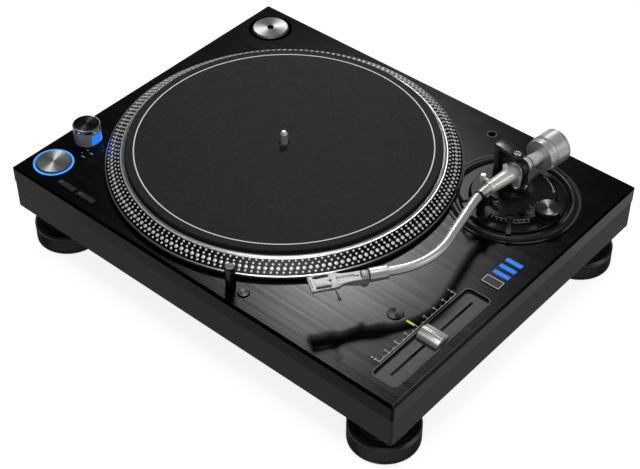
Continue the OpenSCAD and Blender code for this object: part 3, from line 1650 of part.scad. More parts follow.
module shell_wall(s, l, drop) {
  translate([s * (shell_rear_w - wall_t) / 2, -shell_back - l / 2, shell_up - shell_t / 2 - drop])
    block(wall_t, l, drop);
}

module headshell() {
  mid = shell_front - shell_front_l;
  rear_half = shell_rear_w / 2;
  front_half = shell_front_w / 2;
  color(silver_c) head_frame(arm_z) {
    difference() {
      union() {
        translate([0, 0, shell_up - shell_t]) linear_extrude(shell_t)
          polygon([[-rear_half, -shell_back], [-front_half, -mid], [-front_half, -shell_front],
                   [front_half, -shell_front], [front_half, -mid], [rear_half, -shell_back]]);
        for (s = [-1, 1]) {
          shell_wall(s, tab_l, tab_drop);
          shell_wall(s, mid - shell_back, wall_drop);
        }
        ahead(shell_back, shell_back + shell_collar_l, shell_collar_r);
      }
      for (s = [-1, 1])
        translate([s * cart_pitch / 2, -shell_front + cart_back, -shell_t]) linear_extrude(2 * shell_t)
          rounded_rect(cart_slot_w, cart_slot_l, cart_slot_w * slot_round);
    }
    ahead(plug_back, shell_back + over, plug_r);
  }
}

module finger_lift() {
  color(silver_c) head_frame(arm_z + shell_up - shell_t / 2)
    translate([shell_front_w / 2, lift_back - shell_front, 0]) rotate([0, 90, 0]) {
      cylinder(r = lift_r, h = lift_l);
      translate([0, 0, lift_l]) sphere(lift_ball_r);
    }
}

module jack_panel() {
  color(dark_c) translate([rear_x, 0, rear_mid_z]) difference() {
    translate([0, rear_face - rear_depth / 2, -rear_h / 2]) block(rear_w, rear_depth, rear_h);
    translate([0, rear_face - rear_depth / 2 + rear_wall, rear_wall - rear_h / 2])
      block(rear_w - 2 * rear_wall, rear_depth, rear_h - 2 * rear_wall);
  }
}

module rearward(x, from, to, r) {
  translate([x, rear_floor_y + from, rear_mid_z]) rotate([-90, 0, 0]) cylinder(r = r, h = to - from);
}

module phono_jacks() {
  color(brass_c) for (s = [-1, 1]) {
    x = rear_x - jack_dx + s * jack_pitch / 2;
    difference() {
      union() {
        rearward(x, rear_wall, rear_wall + jack_flange_t, jack_flange_r);
        rearward(x, rear_wall, rear_wall + jack_l, jack_r);
      }
      rearward(x, rear_wall + jack_l - jack_bore_l, rear_wall + jack_l + over, jack_bore_r);
    }
  }
}

module ground_post() {
  x = rear_x + ground_dx;
  color(steel_c) {
    rearward(x, rear_wall, rear_wall + ground_l, ground_r);
    rearward(x, rear_wall + ground_nut_gap, rear_wall + ground_nut_gap + ground_nut_t, ground_nut_r);
  }
}

module power_inlet() {
  x = rear_x + inlet_dx;
  y0 = rear_floor_y + rear_wall;
  color(black_c) translate([x, y0, rear_mid_z]) {
    difference() {
      translate([0, inlet_depth / 2, -inlet_h / 2]) block(inlet_w, inlet_depth, inlet_h);
      translate([0, inlet_depth / 2 + inlet_floor, inlet_wall - inlet_h / 2])
        block(inlet_w - 2 * inlet_wall, inlet_depth, inlet_h - 2 * inlet_wall);
    }
    for (i = [-1 : 1])
      translate([i * power_pin_pitch, inlet_floor + power_pin_l / 2, (1 - abs(i)) * power_pin_up])
        translate([0, 0, -power_pin_h / 2]) block(power_pin_w, power_pin_l, power_pin_h);
  }
}

module foot(sx, sy) {
  color(black_c) translate([sx * foot_x, sy * foot_y, 0]) difference() {
    union() {
      translate([0, 0, sole_show]) beveled(foot_r, foot_body_top - sole_show, foot_bevel);
      translate([0, 0, foot_body_top - over]) cylinder(r = neck_r, h = stud_z - foot_body_top + over);
      translate([0, 0, stud_z - over]) cylinder(r = stud_r, h = stud_len + over);
    }
    translate([0, 0, sole_show - over]) cylinder(r = sole_r + sole_gap, h = sole_t - sole_show + over);
    cylinder(r = sole_pin_r + run_gap, h = sole_t + sole_pin_len + sole_gap);
  }
}

module sole(sx, sy) {
  color(rubber_c) translate([sx * foot_x, sy * foot_y, 0]) {
    cylinder(r = sole_r, h = sole_t);
    cylinder(r = sole_pin_r, h = sole_t + sole_pin_len);
  }
}

module foot_front_left() {
  foot(-1, -1);
}

module foot_front_right() {
  foot(1, -1);
}

module foot_rear_left() {
  foot(-1, 1);
}

module foot_rear_right() {
  foot(1, 1);
}

module sole_front_left() {
  sole(-1, -1);
}

module sole_front_right() {
  sole(1, -1);
}

module sole_rear_left() {
  sole(-1, 1);
}

module sole_rear_right() {
  sole(1, 1);
}

deck_plate();
base_cabinet();
bottom_cover();
cabinet_screws();
motor_stator();
circuit_boards();
bearing_housing();
bearing_bush();
strobe_housing();
strobe_window();
start_ring();
tempo_panel();
fader_track();
indicator_lights();
shell_socket();
arm_well();
jack_panel();
phono_jacks();
ground_post();
power_inlet();
platter();
rotor_magnet();
spindle();
slipmat();
adapter_45();
start_button();
speed_button_33();
speed_button_45();
reset_button();
range_button();
stylus_lamp();
lamp_button();
power_knob();
fader_cap();
height_ring();
arm_base();
arm_yoke();
pivot_screw();
arm_rest();
lock_knob();
rest_clip();
antiskate_dial();
cue_lever();
cue_lifter();
gimbal_ring();
arm_housing();
arm_tube();
force_dial();
counterweight();
shell_nut();
headshell();
finger_lift();
foot_front_left();
foot_front_right();
foot_rear_left();
foot_rear_right();
sole_front_left();
sole_front_right();
sole_rear_left();
sole_rear_right();
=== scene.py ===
import math

import bmesh
import bpy
from mathutils import Matrix, Vector


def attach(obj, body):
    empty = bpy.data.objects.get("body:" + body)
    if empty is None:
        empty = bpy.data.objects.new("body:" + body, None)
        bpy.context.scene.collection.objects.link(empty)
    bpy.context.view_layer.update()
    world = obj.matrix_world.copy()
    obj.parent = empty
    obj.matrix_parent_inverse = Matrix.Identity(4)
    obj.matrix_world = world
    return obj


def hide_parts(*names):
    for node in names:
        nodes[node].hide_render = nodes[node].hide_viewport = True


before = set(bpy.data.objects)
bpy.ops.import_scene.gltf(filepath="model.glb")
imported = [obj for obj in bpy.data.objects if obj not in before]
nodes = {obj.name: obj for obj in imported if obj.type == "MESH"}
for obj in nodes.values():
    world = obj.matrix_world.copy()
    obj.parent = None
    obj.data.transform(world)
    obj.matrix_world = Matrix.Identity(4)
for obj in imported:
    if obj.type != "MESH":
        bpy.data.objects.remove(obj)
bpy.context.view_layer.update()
scene = bpy.context.scene
scene.view_settings.view_transform = "Standard"

# Places and sizes on the turntable, in metres.
DECK_TOP = 0.087
PLATTER_AXIS = Vector((-0.0436, -0.00175, 0))
ARM_PIVOT = Vector((0.1513, 0.089, 0))
POD_AXIS = Vector((-0.2024, -0.1025, 0))
START_AXIS = Vector((-0.2006, -0.1475, 0))
ADAPTER_AXIS = Vector((-0.1942, 0.1446, 0))
LAMP_AXIS = Vector((0.0362, -0.1591, 0))
LAMP_BUTTON_AXIS = Vector((0.051, -0.1591, 0))
RESET_AXIS = Vector((0.1631, -0.09425, 0))
TEMPO_MIDDLE = Vector((0.2021, -0.09425, 0))
RANGE_MIDDLE = Vector((0.2021, -0.011, 0))
FOOT_SPOTS = {
    "front_left": (-0.1945, -0.1445),
    "front_right": (0.1945, -0.1445),
    "rear_left": (-0.1945, 0.1445),
    "rear_right": (0.1945, 0.1445),
}
BAR_FIRST, BAR_PITCH = 0.0016, 0.0093
PLATTER_RADIUS, RING_OUTER, RING_INNER = 0.166, 0.1512, 0.1481
MAT_RADIUS, MAT_PRINT_RADIUS, MAT_THICKNESS = 0.147, 0.1388, 0.003
MAT_TOP = DECK_TOP + 0.0175
DRUM_RADIUS, DRUM_TOP = 0.038, DECK_TOP + 0.0085
SHELL_SLOTS = (-0.00635, 0.00635)
SHELL_FRONT, SHELL_BACK, SHELL_LOW, SHELL_TOP = -0.0746, -0.0246, -0.0011, 0.0019
# From the pivot to the axis of the anti-skating dial.
SKATE_OFFSET = Vector((0.0406, -0.0052, 0))
# The arm's axis over the deck.
ARM_HEIGHT = 0.032
PRINT_THICKNESS = 0.00004
# Corners nearer to each other than this become one.
WELD = 0.000004


def spin(degrees, axis="Z"):
    return Matrix.Rotation(math.radians(degrees), 4, axis)


def at(x, y, z=0.0, turn=0.0):
    return Matrix.Translation((x, y, z)) @ spin(turn)


def above(axis, height=0.0):
    return at(axis.x, axis.y, height)


def polar(radius, degrees):
    direction = math.radians(degrees)
    return Vector((math.cos(direction), math.sin(direction), 0)) * radius


ARM_PLACE = above(ARM_PIVOT, DECK_TOP + ARM_HEIGHT) @ spin(-7)
HEAD_PLACE = ARM_PLACE @ at(0.020095, -0.167107, 0, -27.5)
# The arm's heading at the height of the deck.
ARM_FOOT = at(0, 0, -ARM_HEIGHT) @ ARM_PLACE
# Turns a piece that was made round +Z so that +Z points ahead along the arm.
AHEAD = spin(90, "X")


def setup(thing, **values):
    for label, value in values.items():
        setattr(thing, label, value)


# Modelling by operators.

def deselect():
    bpy.ops.object.select_all(action="DESELECT")


def only(piece):
    deselect()
    piece.select_set(True)
    bpy.context.view_layer.objects.active = piece


def edit(piece):
    only(piece)
    bpy.ops.object.mode_set(mode="EDIT")


def leave_edit():
    bpy.ops.object.mode_set(mode="OBJECT")


def pick_all():
    bpy.ops.mesh.select_all(action="SELECT")


def pick(piece, kind, wanted):
    """Selects the corners, edges or faces that the test wants."""
    bpy.ops.mesh.select_mode(type=kind)
    bpy.ops.mesh.select_all(action="DESELECT")
    mesh = bmesh.from_edit_mesh(piece.data)
    for part in {"VERT": mesh.verts, "EDGE": mesh.edges, "FACE": mesh.faces}[kind]:
        part.select_set(bool(wanted(part)))
    mesh.select_flush_mode()
    bmesh.update_edit_mesh(piece.data)


def pick_corners(piece, wanted):
    pick(piece, "VERT", lambda corner: wanted(corner.co))


def pick_faces(piece, wanted):
    """Selects faces by a test of their centre and normal."""
    pick(piece, "FACE", lambda face: wanted(face.calc_center_median(), face.normal))


def pick_open_edges():
    bpy.ops.mesh.select_mode(type="EDGE")
    bpy.ops.mesh.select_all(action="DESELECT")
    bpy.ops.mesh.select_non_manifold()


def pull(x, y, z):
    bpy.ops.mesh.extrude_region_move(TRANSFORM_OT_translate={"value": (x, y, z)})


def slide(x, y, z):
    bpy.ops.transform.translate(value=(x, y, z))


def stretch(x, y, z, middle=(0, 0, 0)):
    bpy.ops.transform.resize(value=(x, y, z), center_override=middle)


def near(first, second):
    return abs(first - second) < 0.00001


def face_outward():
    """Turns all faces outward and ends the edit."""
    pick_all()
    bpy.ops.mesh.normals_make_consistent(inside=False)
    leave_edit()


def close_up(piece):
    """Joins the corners that meet, fills what is still open and ends the edit."""
    pick_all()
    bpy.ops.mesh.remove_doubles(threshold=WELD)
    pick_open_edges()
    if any(edge.select for edge in bmesh.from_edit_mesh(piece.data).edges):
        bpy.ops.mesh.fill_holes(sides=0)
    face_outward()


def modify(piece, kind, **settings):
    """Gives a piece one modifier and applies it."""
    modifier = piece.modifiers.new(kind.lower(), kind)
    setup(modifier, **settings)
    only(piece)
    bpy.ops.object.modifier_apply(modifier=modifier.name)


def bevel_edges(piece, width, segments=2):
    modify(piece, "BEVEL", width=width, segments=segments, limit_method="ANGLE", angle_limit=math.radians(35))


def placed(piece, place=None):
    """Moves a piece to its place and puts that place into its mesh."""
    if place is not None:
        piece.matrix_world = place @ piece.matrix_world
    only(piece)
    bpy.ops.object.transform_apply(location=True, rotation=True, scale=True)
    return piece


def join(parts):
    deselect()
    for part in parts:
        part.select_set(True)
    bpy.context.view_layer.objects.active = parts[0]
    if len(parts) > 1:
        bpy.ops.object.join()
    return parts[0]


def put_on(parts, name, body, finish, place=None, smooth=40):
    """Joins the parts of a piece, places it, gives it its name and finish and lets it ride on its body."""
    piece = placed(join(parts) if isinstance(parts, list) else parts, place)
    piece.name = name
    piece.data.name = name
    piece.data.materials.clear()
    piece.data.materials.append(finish)
    bpy.ops.object.shade_smooth_by_angle(angle=math.radians(smooth))
    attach(piece, body)
    return piece


def added(operator, location=(0, 0, 0), **options):
    deselect()
    operator(location=location, **options)
    return bpy.context.object


def sized_plane(width, depth):
    piece = added(bpy.ops.mesh.primitive_plane_add, size=1)
    piece.scale = (width, depth, 1)
    return placed(piece)


def sized_cube(size, middle):
    piece = added(bpy.ops.mesh.primitive_cube_add, middle, size=1)
    piece.scale = size
    return placed(piece)


def turned(profile, sides):
    """Turns a profile of (radius, height) points round +Z, by drawing a circle out and up along it."""
    radius, height = profile[0]
    piece = added(bpy.ops.mesh.primitive_circle_add, vertices=sides, radius=radius)
    edit(piece)
    pick_all()
    slide(0, 0, height)
    for next_radius, next_height in profile[1:]:
        pull(0, 0, next_height - height)
        grow = next_radius / radius
        stretch(grow, grow, 1)
        radius, height = next_radius, next_height
    close_up(piece)
    return piece


def drawn(profile, width):
    """Draws an edge along X through a closed profile of (y, z) points, and closes both ends."""
    piece = sized_plane(width, 1)
    edit(piece)
    pick_corners(piece, lambda v: v.y > 0)
    bpy.ops.mesh.delete(type="VERT")
    pick_all()
    y, z = profile[0]
    slide(0, y + 0.5, z)
    for next_y, next_z in profile[1:] + profile[:1]:
        bpy.ops.mesh.extrude_edges_move(TRANSFORM_OT_translate={"value": (0, next_y - y, next_z - z)})
        y, z = next_y, next_z
    close_up(piece)
    return piece


def tube(inner, outer, low, high, sides):
    return turned([(inner, low), (outer, low), (outer, high), (inner, high), (inner, low)], sides)


def band(inner, outer, low, high, edge, sides):
    """A band with sloped shoulders, to go round a piece."""
    return turned([(inner, low), (outer, low + edge), (outer, high - edge), (inner, high)], sides)


def ribbed(piece, low, high, margin, depth):
    """Sinks each upright face between two heights by itself, which leaves ribs."""
    edit(piece)
    pick_faces(piece, lambda c, n: low < c.z < high and abs(n.z) < 0.3)
    bpy.ops.mesh.inset(thickness=margin, depth=-depth, use_individual=True, use_even_offset=True)
    leave_edit()
    return piece


def ring_of(piece, count):
    """Repeats a piece all the way round +Z."""
    turner = added(bpy.ops.object.empty_add, rotation=(0, 0, math.radians(360 / count)))
    modify(piece, "ARRAY", count=count, use_relative_offset=False, use_object_offset=True, offset_object=turner)
    bpy.data.objects.remove(turner)
    return piece


def cut_across(piece, spots, direction=(0, 0, 1)):
    """Cuts edge loops round a piece at some places along a direction."""
    edit(piece)
    for spot in spots:
        pick_all()
        bpy.ops.mesh.bisect(plane_co=Vector(direction) * spot, plane_no=direction)
    leave_edit()


def cut_out(piece, cutters):
    """Takes the shape of some blocks out of a piece."""
    cutter = join(cutters)
    modify(piece, "BOOLEAN", operation="DIFFERENCE", solver="EXACT", object=cutter)
    bpy.data.objects.remove(cutter)


def strip(width, depth):
    """A thin printed strip, flat on z = 0, with its upper edge drawn in."""
    piece = sized_plane(width, depth)
    edit(piece)
    pick_all()
    pull(0, 0, PRINT_THICKNESS)
    inward = 1 - PRINT_THICKNESS / max(width, depth)
    stretch(inward, inward, 1)
    face_outward()
    return piece


def arc_strip(radius, width, start, end, height=PRINT_THICKNESS):
    """The stretch of a flat printed ring between two directions, in degrees."""
    piece = tube(radius - width / 2, radius + width / 2, 0, height, 240)
    edit(piece)
    pick_faces(piece, lambda c, n: (math.degrees(math.atan2(c.y, c.x)) - start) % 360 > end - start)
    bpy.ops.mesh.delete(type="FACE")
    close_up(piece)
    return piece


def rounded_plane(width, depth, corner, segments):
    """A flat rectangle with rounded corners, left open to edit."""
    piece = sized_plane(width, depth)
    edit(piece)
    pick_all()
    bpy.ops.mesh.bevel(offset=corner, segments=segments, affect="VERTICES")
    return piece


def outline(width, depth, corner):
    """A printed line round a rectangle with rounded corners, flat on z = 0."""
    line = 0.0005
    piece = rounded_plane(width, depth, corner, 5)
    bpy.ops.mesh.select_mode(type="FACE")
    pick_all()
    bpy.ops.mesh.inset(thickness=line, depth=0)
    bpy.ops.mesh.delete(type="FACE")
    pick_all()
    pull(0, 0, PRINT_THICKNESS)
    face_outward()
    return piece


def rounded_block(width, depth, height, corner):
    """A block on z = 0 with rounded upright edges."""
    piece = rounded_plane(width, depth, corner, 6)
    pick_all()
    pull(0, 0, height)
    face_outward()
    return piece


def numeral(text, size):
    """A printed number, flat on z = 0 and centred."""
    letters = added(bpy.ops.object.text_add)
    setup(letters.data, body=text, size=size, align_x="CENTER", align_y="CENTER", extrude=PRINT_THICKNESS / 2,
          resolution_u=3)
    only(letters)
    bpy.ops.object.convert(target="MESH")
    piece = bpy.context.object
    edit(piece)
    pick_all()
    slide(0, 0, PRINT_THICKNESS / 2)
    bpy.ops.mesh.remove_doubles(threshold=WELD / 2)
    face_outward()
    return piece


# Effects that the finishes share.

def feed(tree, socket, source):
    """Gives a socket a plain value, or a link from another node."""
    if isinstance(source, bpy.types.NodeSocket):
        tree.links.new(source, socket)
    else:
        socket.default_value = source


def new_node(tree, kind, **sources):
    """A node with its inputs fed by name, with _ for a space."""
    node = tree.nodes.new(kind)
    for label, source in sources.items():
        feed(tree, node.inputs[label.replace("_", " ")], source)
    return node


def working_node(tree, kind, operation, sources):
    node = tree.nodes.new(kind)
    node.operation = operation
    for socket, source in zip(node.inputs, sources):
        feed(tree, socket, source)
    return node


def math_node(tree, operation, *sources, clamp=False):
    node = working_node(tree, "ShaderNodeMath", operation, sources)
    node.use_clamp = clamp
    return node.outputs[0]


def vector_node(tree, operation, *sources):
    node = working_node(tree, "ShaderNodeVectorMath", operation, sources)
    return node.outputs["Value" if operation == "LENGTH" else "Vector"]


def noise_node(tree, vector, scale, detail, roughness=0.5):
    node = new_node(tree, "ShaderNodeTexNoise", Vector=vector, Scale=scale, Detail=detail, Roughness=roughness)
    return node.outputs["Fac"]


def place_in_frame(tree):
    return tree.nodes.new("ShaderNodeTexCoord").outputs["Object"]


def value_group(name, inputs, outputs):
    group = bpy.data.node_groups.new(name, "ShaderNodeTree")
    for label, default in inputs.items():
        kind = "NodeSocketVector" if isinstance(default, tuple) else "NodeSocketFloat"
        group.interface.new_socket(name=label, in_out="INPUT", socket_type=kind).default_value = default
    for label in outputs:
        group.interface.new_socket(name=label, in_out="OUTPUT", socket_type="NodeSocketFloat")
    return group, group.nodes.new("NodeGroupInput").outputs, group.nodes.new("NodeGroupOutput").inputs


def make_grain_group():
    """Fine moulded or sprayed grain, with broad cloudy patches left by handling."""
    group, given, result = value_group(
        "fine_grain", {"Grain Scale": 1500.0, "Patch Scale": 14.0}, ["Grain", "Patches"])
    where = place_in_frame(group)
    feed(group, result["Grain"], noise_node(group, where, given["Grain Scale"], 3))
    feed(group, result["Patches"], noise_node(group, where, given["Patch Scale"], 4, 0.6))
    return group


def make_hairline_group():
    """Brushed hairlines that run along one direction."""
    group, given, result = value_group(
        "hairlines", {"Stretch": (6, 1400, 1400), "Turn": 0.0}, ["Lines", "Patches"])
    where = place_in_frame(group)
    turn = new_node(group, "ShaderNodeVectorRotate", Vector=where, Angle=given["Turn"])
    turn.rotation_type = "Z_AXIS"
    stretched = vector_node(group, "MULTIPLY", turn.outputs["Vector"], given["Stretch"])
    feed(group, result["Lines"], noise_node(group, stretched, 1.0, 3, 0.6))
    feed(group, result["Patches"], noise_node(group, where, 9.0, 4, 0.6))
    return group


def make_turning_group():
    """Fine concentric tool marks round an upright axis, and the distance from that axis."""
    group, given, result = value_group(
        "turning_marks", {"Axis": (0, 0, 0), "Fineness": 2500.0}, ["Rings", "Distance"])
    offset = vector_node(group, "SUBTRACT", place_in_frame(group), given["Axis"])
    distance = vector_node(group, "LENGTH", vector_node(group, "MULTIPLY", offset, (1, 1, 0)))
    along = new_node(group, "ShaderNodeCombineXYZ", X=math_node(group, "MULTIPLY", distance, given["Fineness"]))
    feed(group, result["Rings"], noise_node(group, along.outputs[0], 1.0, 2))
    feed(group, result["Distance"], distance)
    return group


GRAIN = make_grain_group()
HAIRLINES = make_hairline_group()
TURNING = make_turning_group()


class Finish:
    """A material under construction: its tree, its Principled shader and its shared effects."""

    def __init__(self, name):
        self.material = bpy.data.materials.new(name)
        self.material.use_nodes = True
        self.tree = self.material.node_tree
        self.shader = self.tree.nodes["Principled BSDF"]

    def made(self, **values):
        """Sets the shader's plain values and hands over the material."""
        for label, value in values.items():
            socket = self.shader.inputs[label.replace("_", " ")]
            socket.default_value = (*value, 1) if isinstance(value, tuple) else value
        return self.material

    def group(self, group, **values):
        node = self.tree.nodes.new("ShaderNodeGroup")
        node.node_tree = group
        for label, value in values.items():
            node.inputs[label.replace("_", " ")].default_value = value
        return node.outputs

    def link(self, source, label):
        self.tree.links.new(source, self.shader.inputs[label])

    def between(self, mask, low, high):
        return new_node(self.tree, "ShaderNodeMapRange", Value=mask, To_Min=low, To_Max=high).outputs["Result"]

    def rough(self, mask, low, high):
        self.link(self.between(mask, low, high), "Roughness")

    def paint(self, mask, low, high):
        self.link(self.colors(mask, low, high), "Base Color")

    def lens(self, glow, patches, strength, specular=0.2):
        """A dark lens that lets a glow through."""
        self.link(glow, "Emission Color")
        self.rough(patches, 0.25, 0.4)
        return self.made(Base_Color=(0.004, 0.006, 0.012), Emission_Strength=strength, Specular_IOR_Level=specular)

    def colors(self, mask, low, high):
        """Mixes two colours, or two colour sources, by a mask."""
        node = self.tree.nodes.new("ShaderNodeMix")
        node.data_type = "RGBA"
        self.tree.links.new(mask, node.inputs["Factor"])
        for socket, value in ((node.inputs[6], low), (node.inputs[7], high)):
            feed(self.tree, socket, (*value, 1) if isinstance(value, tuple) else value)
        return node.outputs[2]

    def bump(self, height, strength, distance):
        node = new_node(self.tree, "ShaderNodeBump", Strength=strength, Distance=distance, Height=height)
        self.link(node.outputs["Normal"], "Normal")

    def spun(self, amount):
        """Highlights that fan out round the upright axis of a turned face."""
        tangent = self.tree.nodes.new("ShaderNodeTangent")
        setup(tangent, direction_type="RADIAL", axis="Z")
        self.link(tangent.outputs[0], "Tangent")
        self.shader.inputs["Anisotropic"].default_value = amount

    def place(self):
        """X, Y and Z of a point in the turntable's frame."""
        return new_node(self.tree, "ShaderNodeSeparateXYZ", Vector=place_in_frame(self.tree)).outputs

    def math(self, operation, *sources, clamp=False):
        return math_node(self.tree, operation, *sources, clamp=clamp)


def shades(color, amount):
    return tuple(c * (1 - amount) for c in color), tuple(min(1.0, c * (1 + amount)) for c in color)


def grained(name, color, rough, metallic=0.0, vary=0.12, scale=1500.0, bump=0.05, specular=0.5):
    finish = Finish(name)
    out = finish.group(GRAIN, Grain_Scale=scale)
    finish.paint(out["Patches"], *shades(color, vary))
    finish.rough(out["Patches"], rough - 0.05, rough + 0.07)
    finish.bump(out["Grain"], bump, 0.00005)
    return finish.made(Metallic=metallic, Specular_IOR_Level=specular)


def brushed(name, color, rough, metallic, turn=0.0, vary=0.1, stretch=(6, 1400, 1400)):
    finish = Finish(name)
    out = finish.group(HAIRLINES, Turn=turn, Stretch=stretch)
    finish.paint(out["Lines"], *shades(color, vary))
    finish.rough(out["Lines"], rough - 0.05, rough + 0.06)
    finish.bump(out["Lines"], 0.12, 0.00003)
    return finish.made(Metallic=metallic)


def spun_metal(name, color, rough, axis, amount=0.75, vary=0.1, fineness=2500.0):
    finish = Finish(name)
    out = finish.group(TURNING, Axis=axis, Fineness=fineness)
    finish.paint(out["Rings"], *shades(color, vary))
    finish.rough(out["Rings"], rough - 0.05, rough + 0.06)
    finish.bump(out["Rings"], 0.1, 0.00002)
    finish.spun(amount)
    return finish.made(Metallic=1.0)


def lit(name, color, strength):
    """A lens lit from behind, a little uneven."""
    finish = Finish(name)
    out = finish.group(GRAIN, Grain_Scale=900.0, Patch_Scale=120.0)
    return finish.lens(finish.colors(out["Patches"], *shades(color, 0.2)), out["Patches"], strength)


def make_deck_finish():
    """Black brushed top with hairlines from left to right, a painted highlight line round its edge where the bevel
    begins, and smooth gloss sides.
    """
    top_depth, highlight_line_depth, flat_depth = 0.0014, 0.00011, 0.00001
    finish = Finish("deck_black_brushed")
    out = finish.group(HAIRLINES, Stretch=(5, 1500, 1500))
    streaks = finish.group(HAIRLINES, Stretch=(2.2, 300, 300))["Lines"]
    z = finish.place()["Z"]
    top, rim, flat = [finish.math("GREATER_THAN", z, DECK_TOP - depth) for depth in (top_depth, highlight_line_depth, flat_depth)]
    strength = finish.math("MULTIPLY", finish.between(streaks, -0.35, 2.0), out["Lines"], clamp=True)
    lines = finish.colors(strength, (0.005, 0.005, 0.0053), (0.024, 0.024, 0.0247))
    # The pale colour in the thin band where the edge bevel begins is a painted highlight line.
    highlight_or_hairlines = finish.colors(finish.math("SUBTRACT", rim, flat), lines, (0.16, 0.16, 0.16))
    finish.paint(top, (0.0065, 0.0065, 0.007), highlight_or_hairlines)
    brushed_rough = finish.between(out["Lines"], 0.18, 0.27)
    side_rough = finish.between(out["Patches"], 0.1, 0.16)
    rough = finish.math("ADD", finish.math("MULTIPLY", brushed_rough, top),
                        finish.math("MULTIPLY", side_rough, finish.math("SUBTRACT", 1.0, top)))
    finish.link(rough, "Roughness")
    finish.bump(finish.math("MULTIPLY", out["Lines"], top), 0.16, 0.00003)
    return finish.made(Metallic=1.0)


def make_platter_finish():
    """Bright turned rings, with a dark bevel for the strobe dots between them; the upper ring's inner part is painted
    dark as shade, so its bright metal shows as a thin line at the outer edge.
    """
    finish = Finish("platter_turned")
    out = finish.group(TURNING, Axis=PLATTER_AXIS, Fineness=1800.0)
    outside_ring = finish.math("GREATER_THAN", out["Distance"], RING_OUTER + 0.0007)
    inside_rim = finish.math("LESS_THAN", out["Distance"], PLATTER_RADIUS - 0.0009)
    bevel = finish.math("MULTIPLY", outside_ring, inside_rim)
    bright = finish.colors(out["Rings"], (0.6, 0.6, 0.59), (0.8, 0.8, 0.79))
    # The dark colour on the inner part of the upper ring is painted shade beside the mat.
    ring_shade_painted = finish.colors(out["Rings"], (0.06, 0.06, 0.06), (0.14, 0.14, 0.14))
    metal = finish.colors(finish.math("GREATER_THAN", out["Distance"], RING_OUTER - 0.0014), ring_shade_painted, bright)
    dark = finish.colors(out["Rings"], (0.012, 0.012, 0.013), (0.02, 0.02, 0.021))
    finish.paint(bevel, metal, dark)
    finish.rough(out["Rings"], 0.24, 0.36)
    return finish.made(Metallic=1.0)


def make_felt_finish():
    """Charcoal felt with a tangle of short fibres and one printed pale ring."""
    finish = Finish("mat_felt")
    grain = finish.group(GRAIN, Grain_Scale=900.0, Patch_Scale=60.0)
    rings = finish.group(TURNING, Axis=PLATTER_AXIS, Fineness=900.0)
    felt = finish.colors(grain["Patches"], (0.0045, 0.0045, 0.0043), (0.011, 0.011, 0.0106))
    fibres = finish.colors(finish.math("GREATER_THAN", grain["Grain"], 0.6), felt, (0.034, 0.034, 0.033))
    off_ring = finish.math("ABSOLUTE", finish.math("SUBTRACT", rings["Distance"], MAT_PRINT_RADIUS))
    ragged = finish.math("ADD", 0.0004, finish.math("MULTIPLY", grain["Grain"], 0.0003))
    printed = finish.math("LESS_THAN", off_ring, ragged)
    ink = finish.colors(grain["Grain"], (0.7, 0.7, 0.69), (0.9, 0.9, 0.89))
    finish.paint(printed, fibres, ink)
    finish.rough(grain["Grain"], 0.5, 0.75)
    finish.bump(grain["Grain"], 0.6, 0.0002)
    return finish.made(Sheen_Weight=0.02, Sheen_Roughness=0.6, Specular_IOR_Level=0.14)


def make_knob_finish():
    """Black turned top inside a bright rim."""
    rim_from = 0.0119
    finish = Finish("power_knob_turned")
    out = finish.group(TURNING, Axis=POD_AXIS, Fineness=2600.0)
    inside = finish.math("LESS_THAN", out["Distance"], rim_from)
    metal = finish.colors(out["Rings"], (0.5, 0.5, 0.49), (0.72, 0.72, 0.7))
    black = finish.colors(out["Rings"], (0.02, 0.02, 0.021), (0.06, 0.06, 0.062))
    finish.paint(inside, metal, black)
    finish.rough(out["Rings"], 0.2, 0.32)
    finish.bump(out["Rings"], 0.1, 0.00002)
    finish.spun(0.8)
    return finish.made(Metallic=1.0)


def make_indicator_finish():
    """Blue range bars that fade to their long edges, and one yellow-green centre light."""
    centre_before, bar_half, fade_rate = -0.05, 0.003, 550.0
    finish = Finish("indicator_lenses")
    out = finish.group(GRAIN, Grain_Scale=900.0, Patch_Scale=150.0)
    y = finish.place()["Y"]
    centre = finish.math("LESS_THAN", y, centre_before)
    along = finish.math("MODULO", finish.math("SUBTRACT", y, BAR_FIRST - BAR_PITCH / 2), BAR_PITCH)
    off = finish.math("ABSOLUTE", finish.math("SUBTRACT", along, BAR_PITCH / 2))
    fade = finish.math("MULTIPLY", finish.math("SUBTRACT", bar_half, off), fade_rate, clamp=True)
    bright = finish.colors(out["Patches"], (0.004, 0.14, 0.8), (0.012, 0.3, 1.0))
    blue = finish.colors(fade, (0.0, 0.01, 0.06), bright)
    green = finish.colors(out["Patches"], (0.35, 0.55, 0.05), (0.55, 0.75, 0.15))
    return finish.lens(finish.colors(centre, blue, green), out["Patches"], 1.0, 0.15)


def make_start_ring_finish():
    """A blue glow along the outer edge of the ring, dark towards the button."""
    glow_from, rise_rate = 0.0166, 900.0
    finish = Finish("start_ring_blue")
    grain = finish.group(GRAIN, Grain_Scale=900.0, Patch_Scale=120.0)
    distance = finish.group(TURNING, Axis=START_AXIS)["Distance"]
    rise = finish.math("MULTIPLY", finish.math("SUBTRACT", distance, glow_from), rise_rate, clamp=True)
    glow = finish.colors(grain["Patches"], (0.03, 0.24, 0.7), (0.06, 0.36, 0.95))
    return finish.lens(finish.colors(rise, (0.0, 0.012, 0.06), glow), grain["Patches"], 1.5)


felt_finish = make_felt_finish()
key_mark_finish = lit("speed_mark_blue", (0.03, 0.16, 0.6), 0.6)

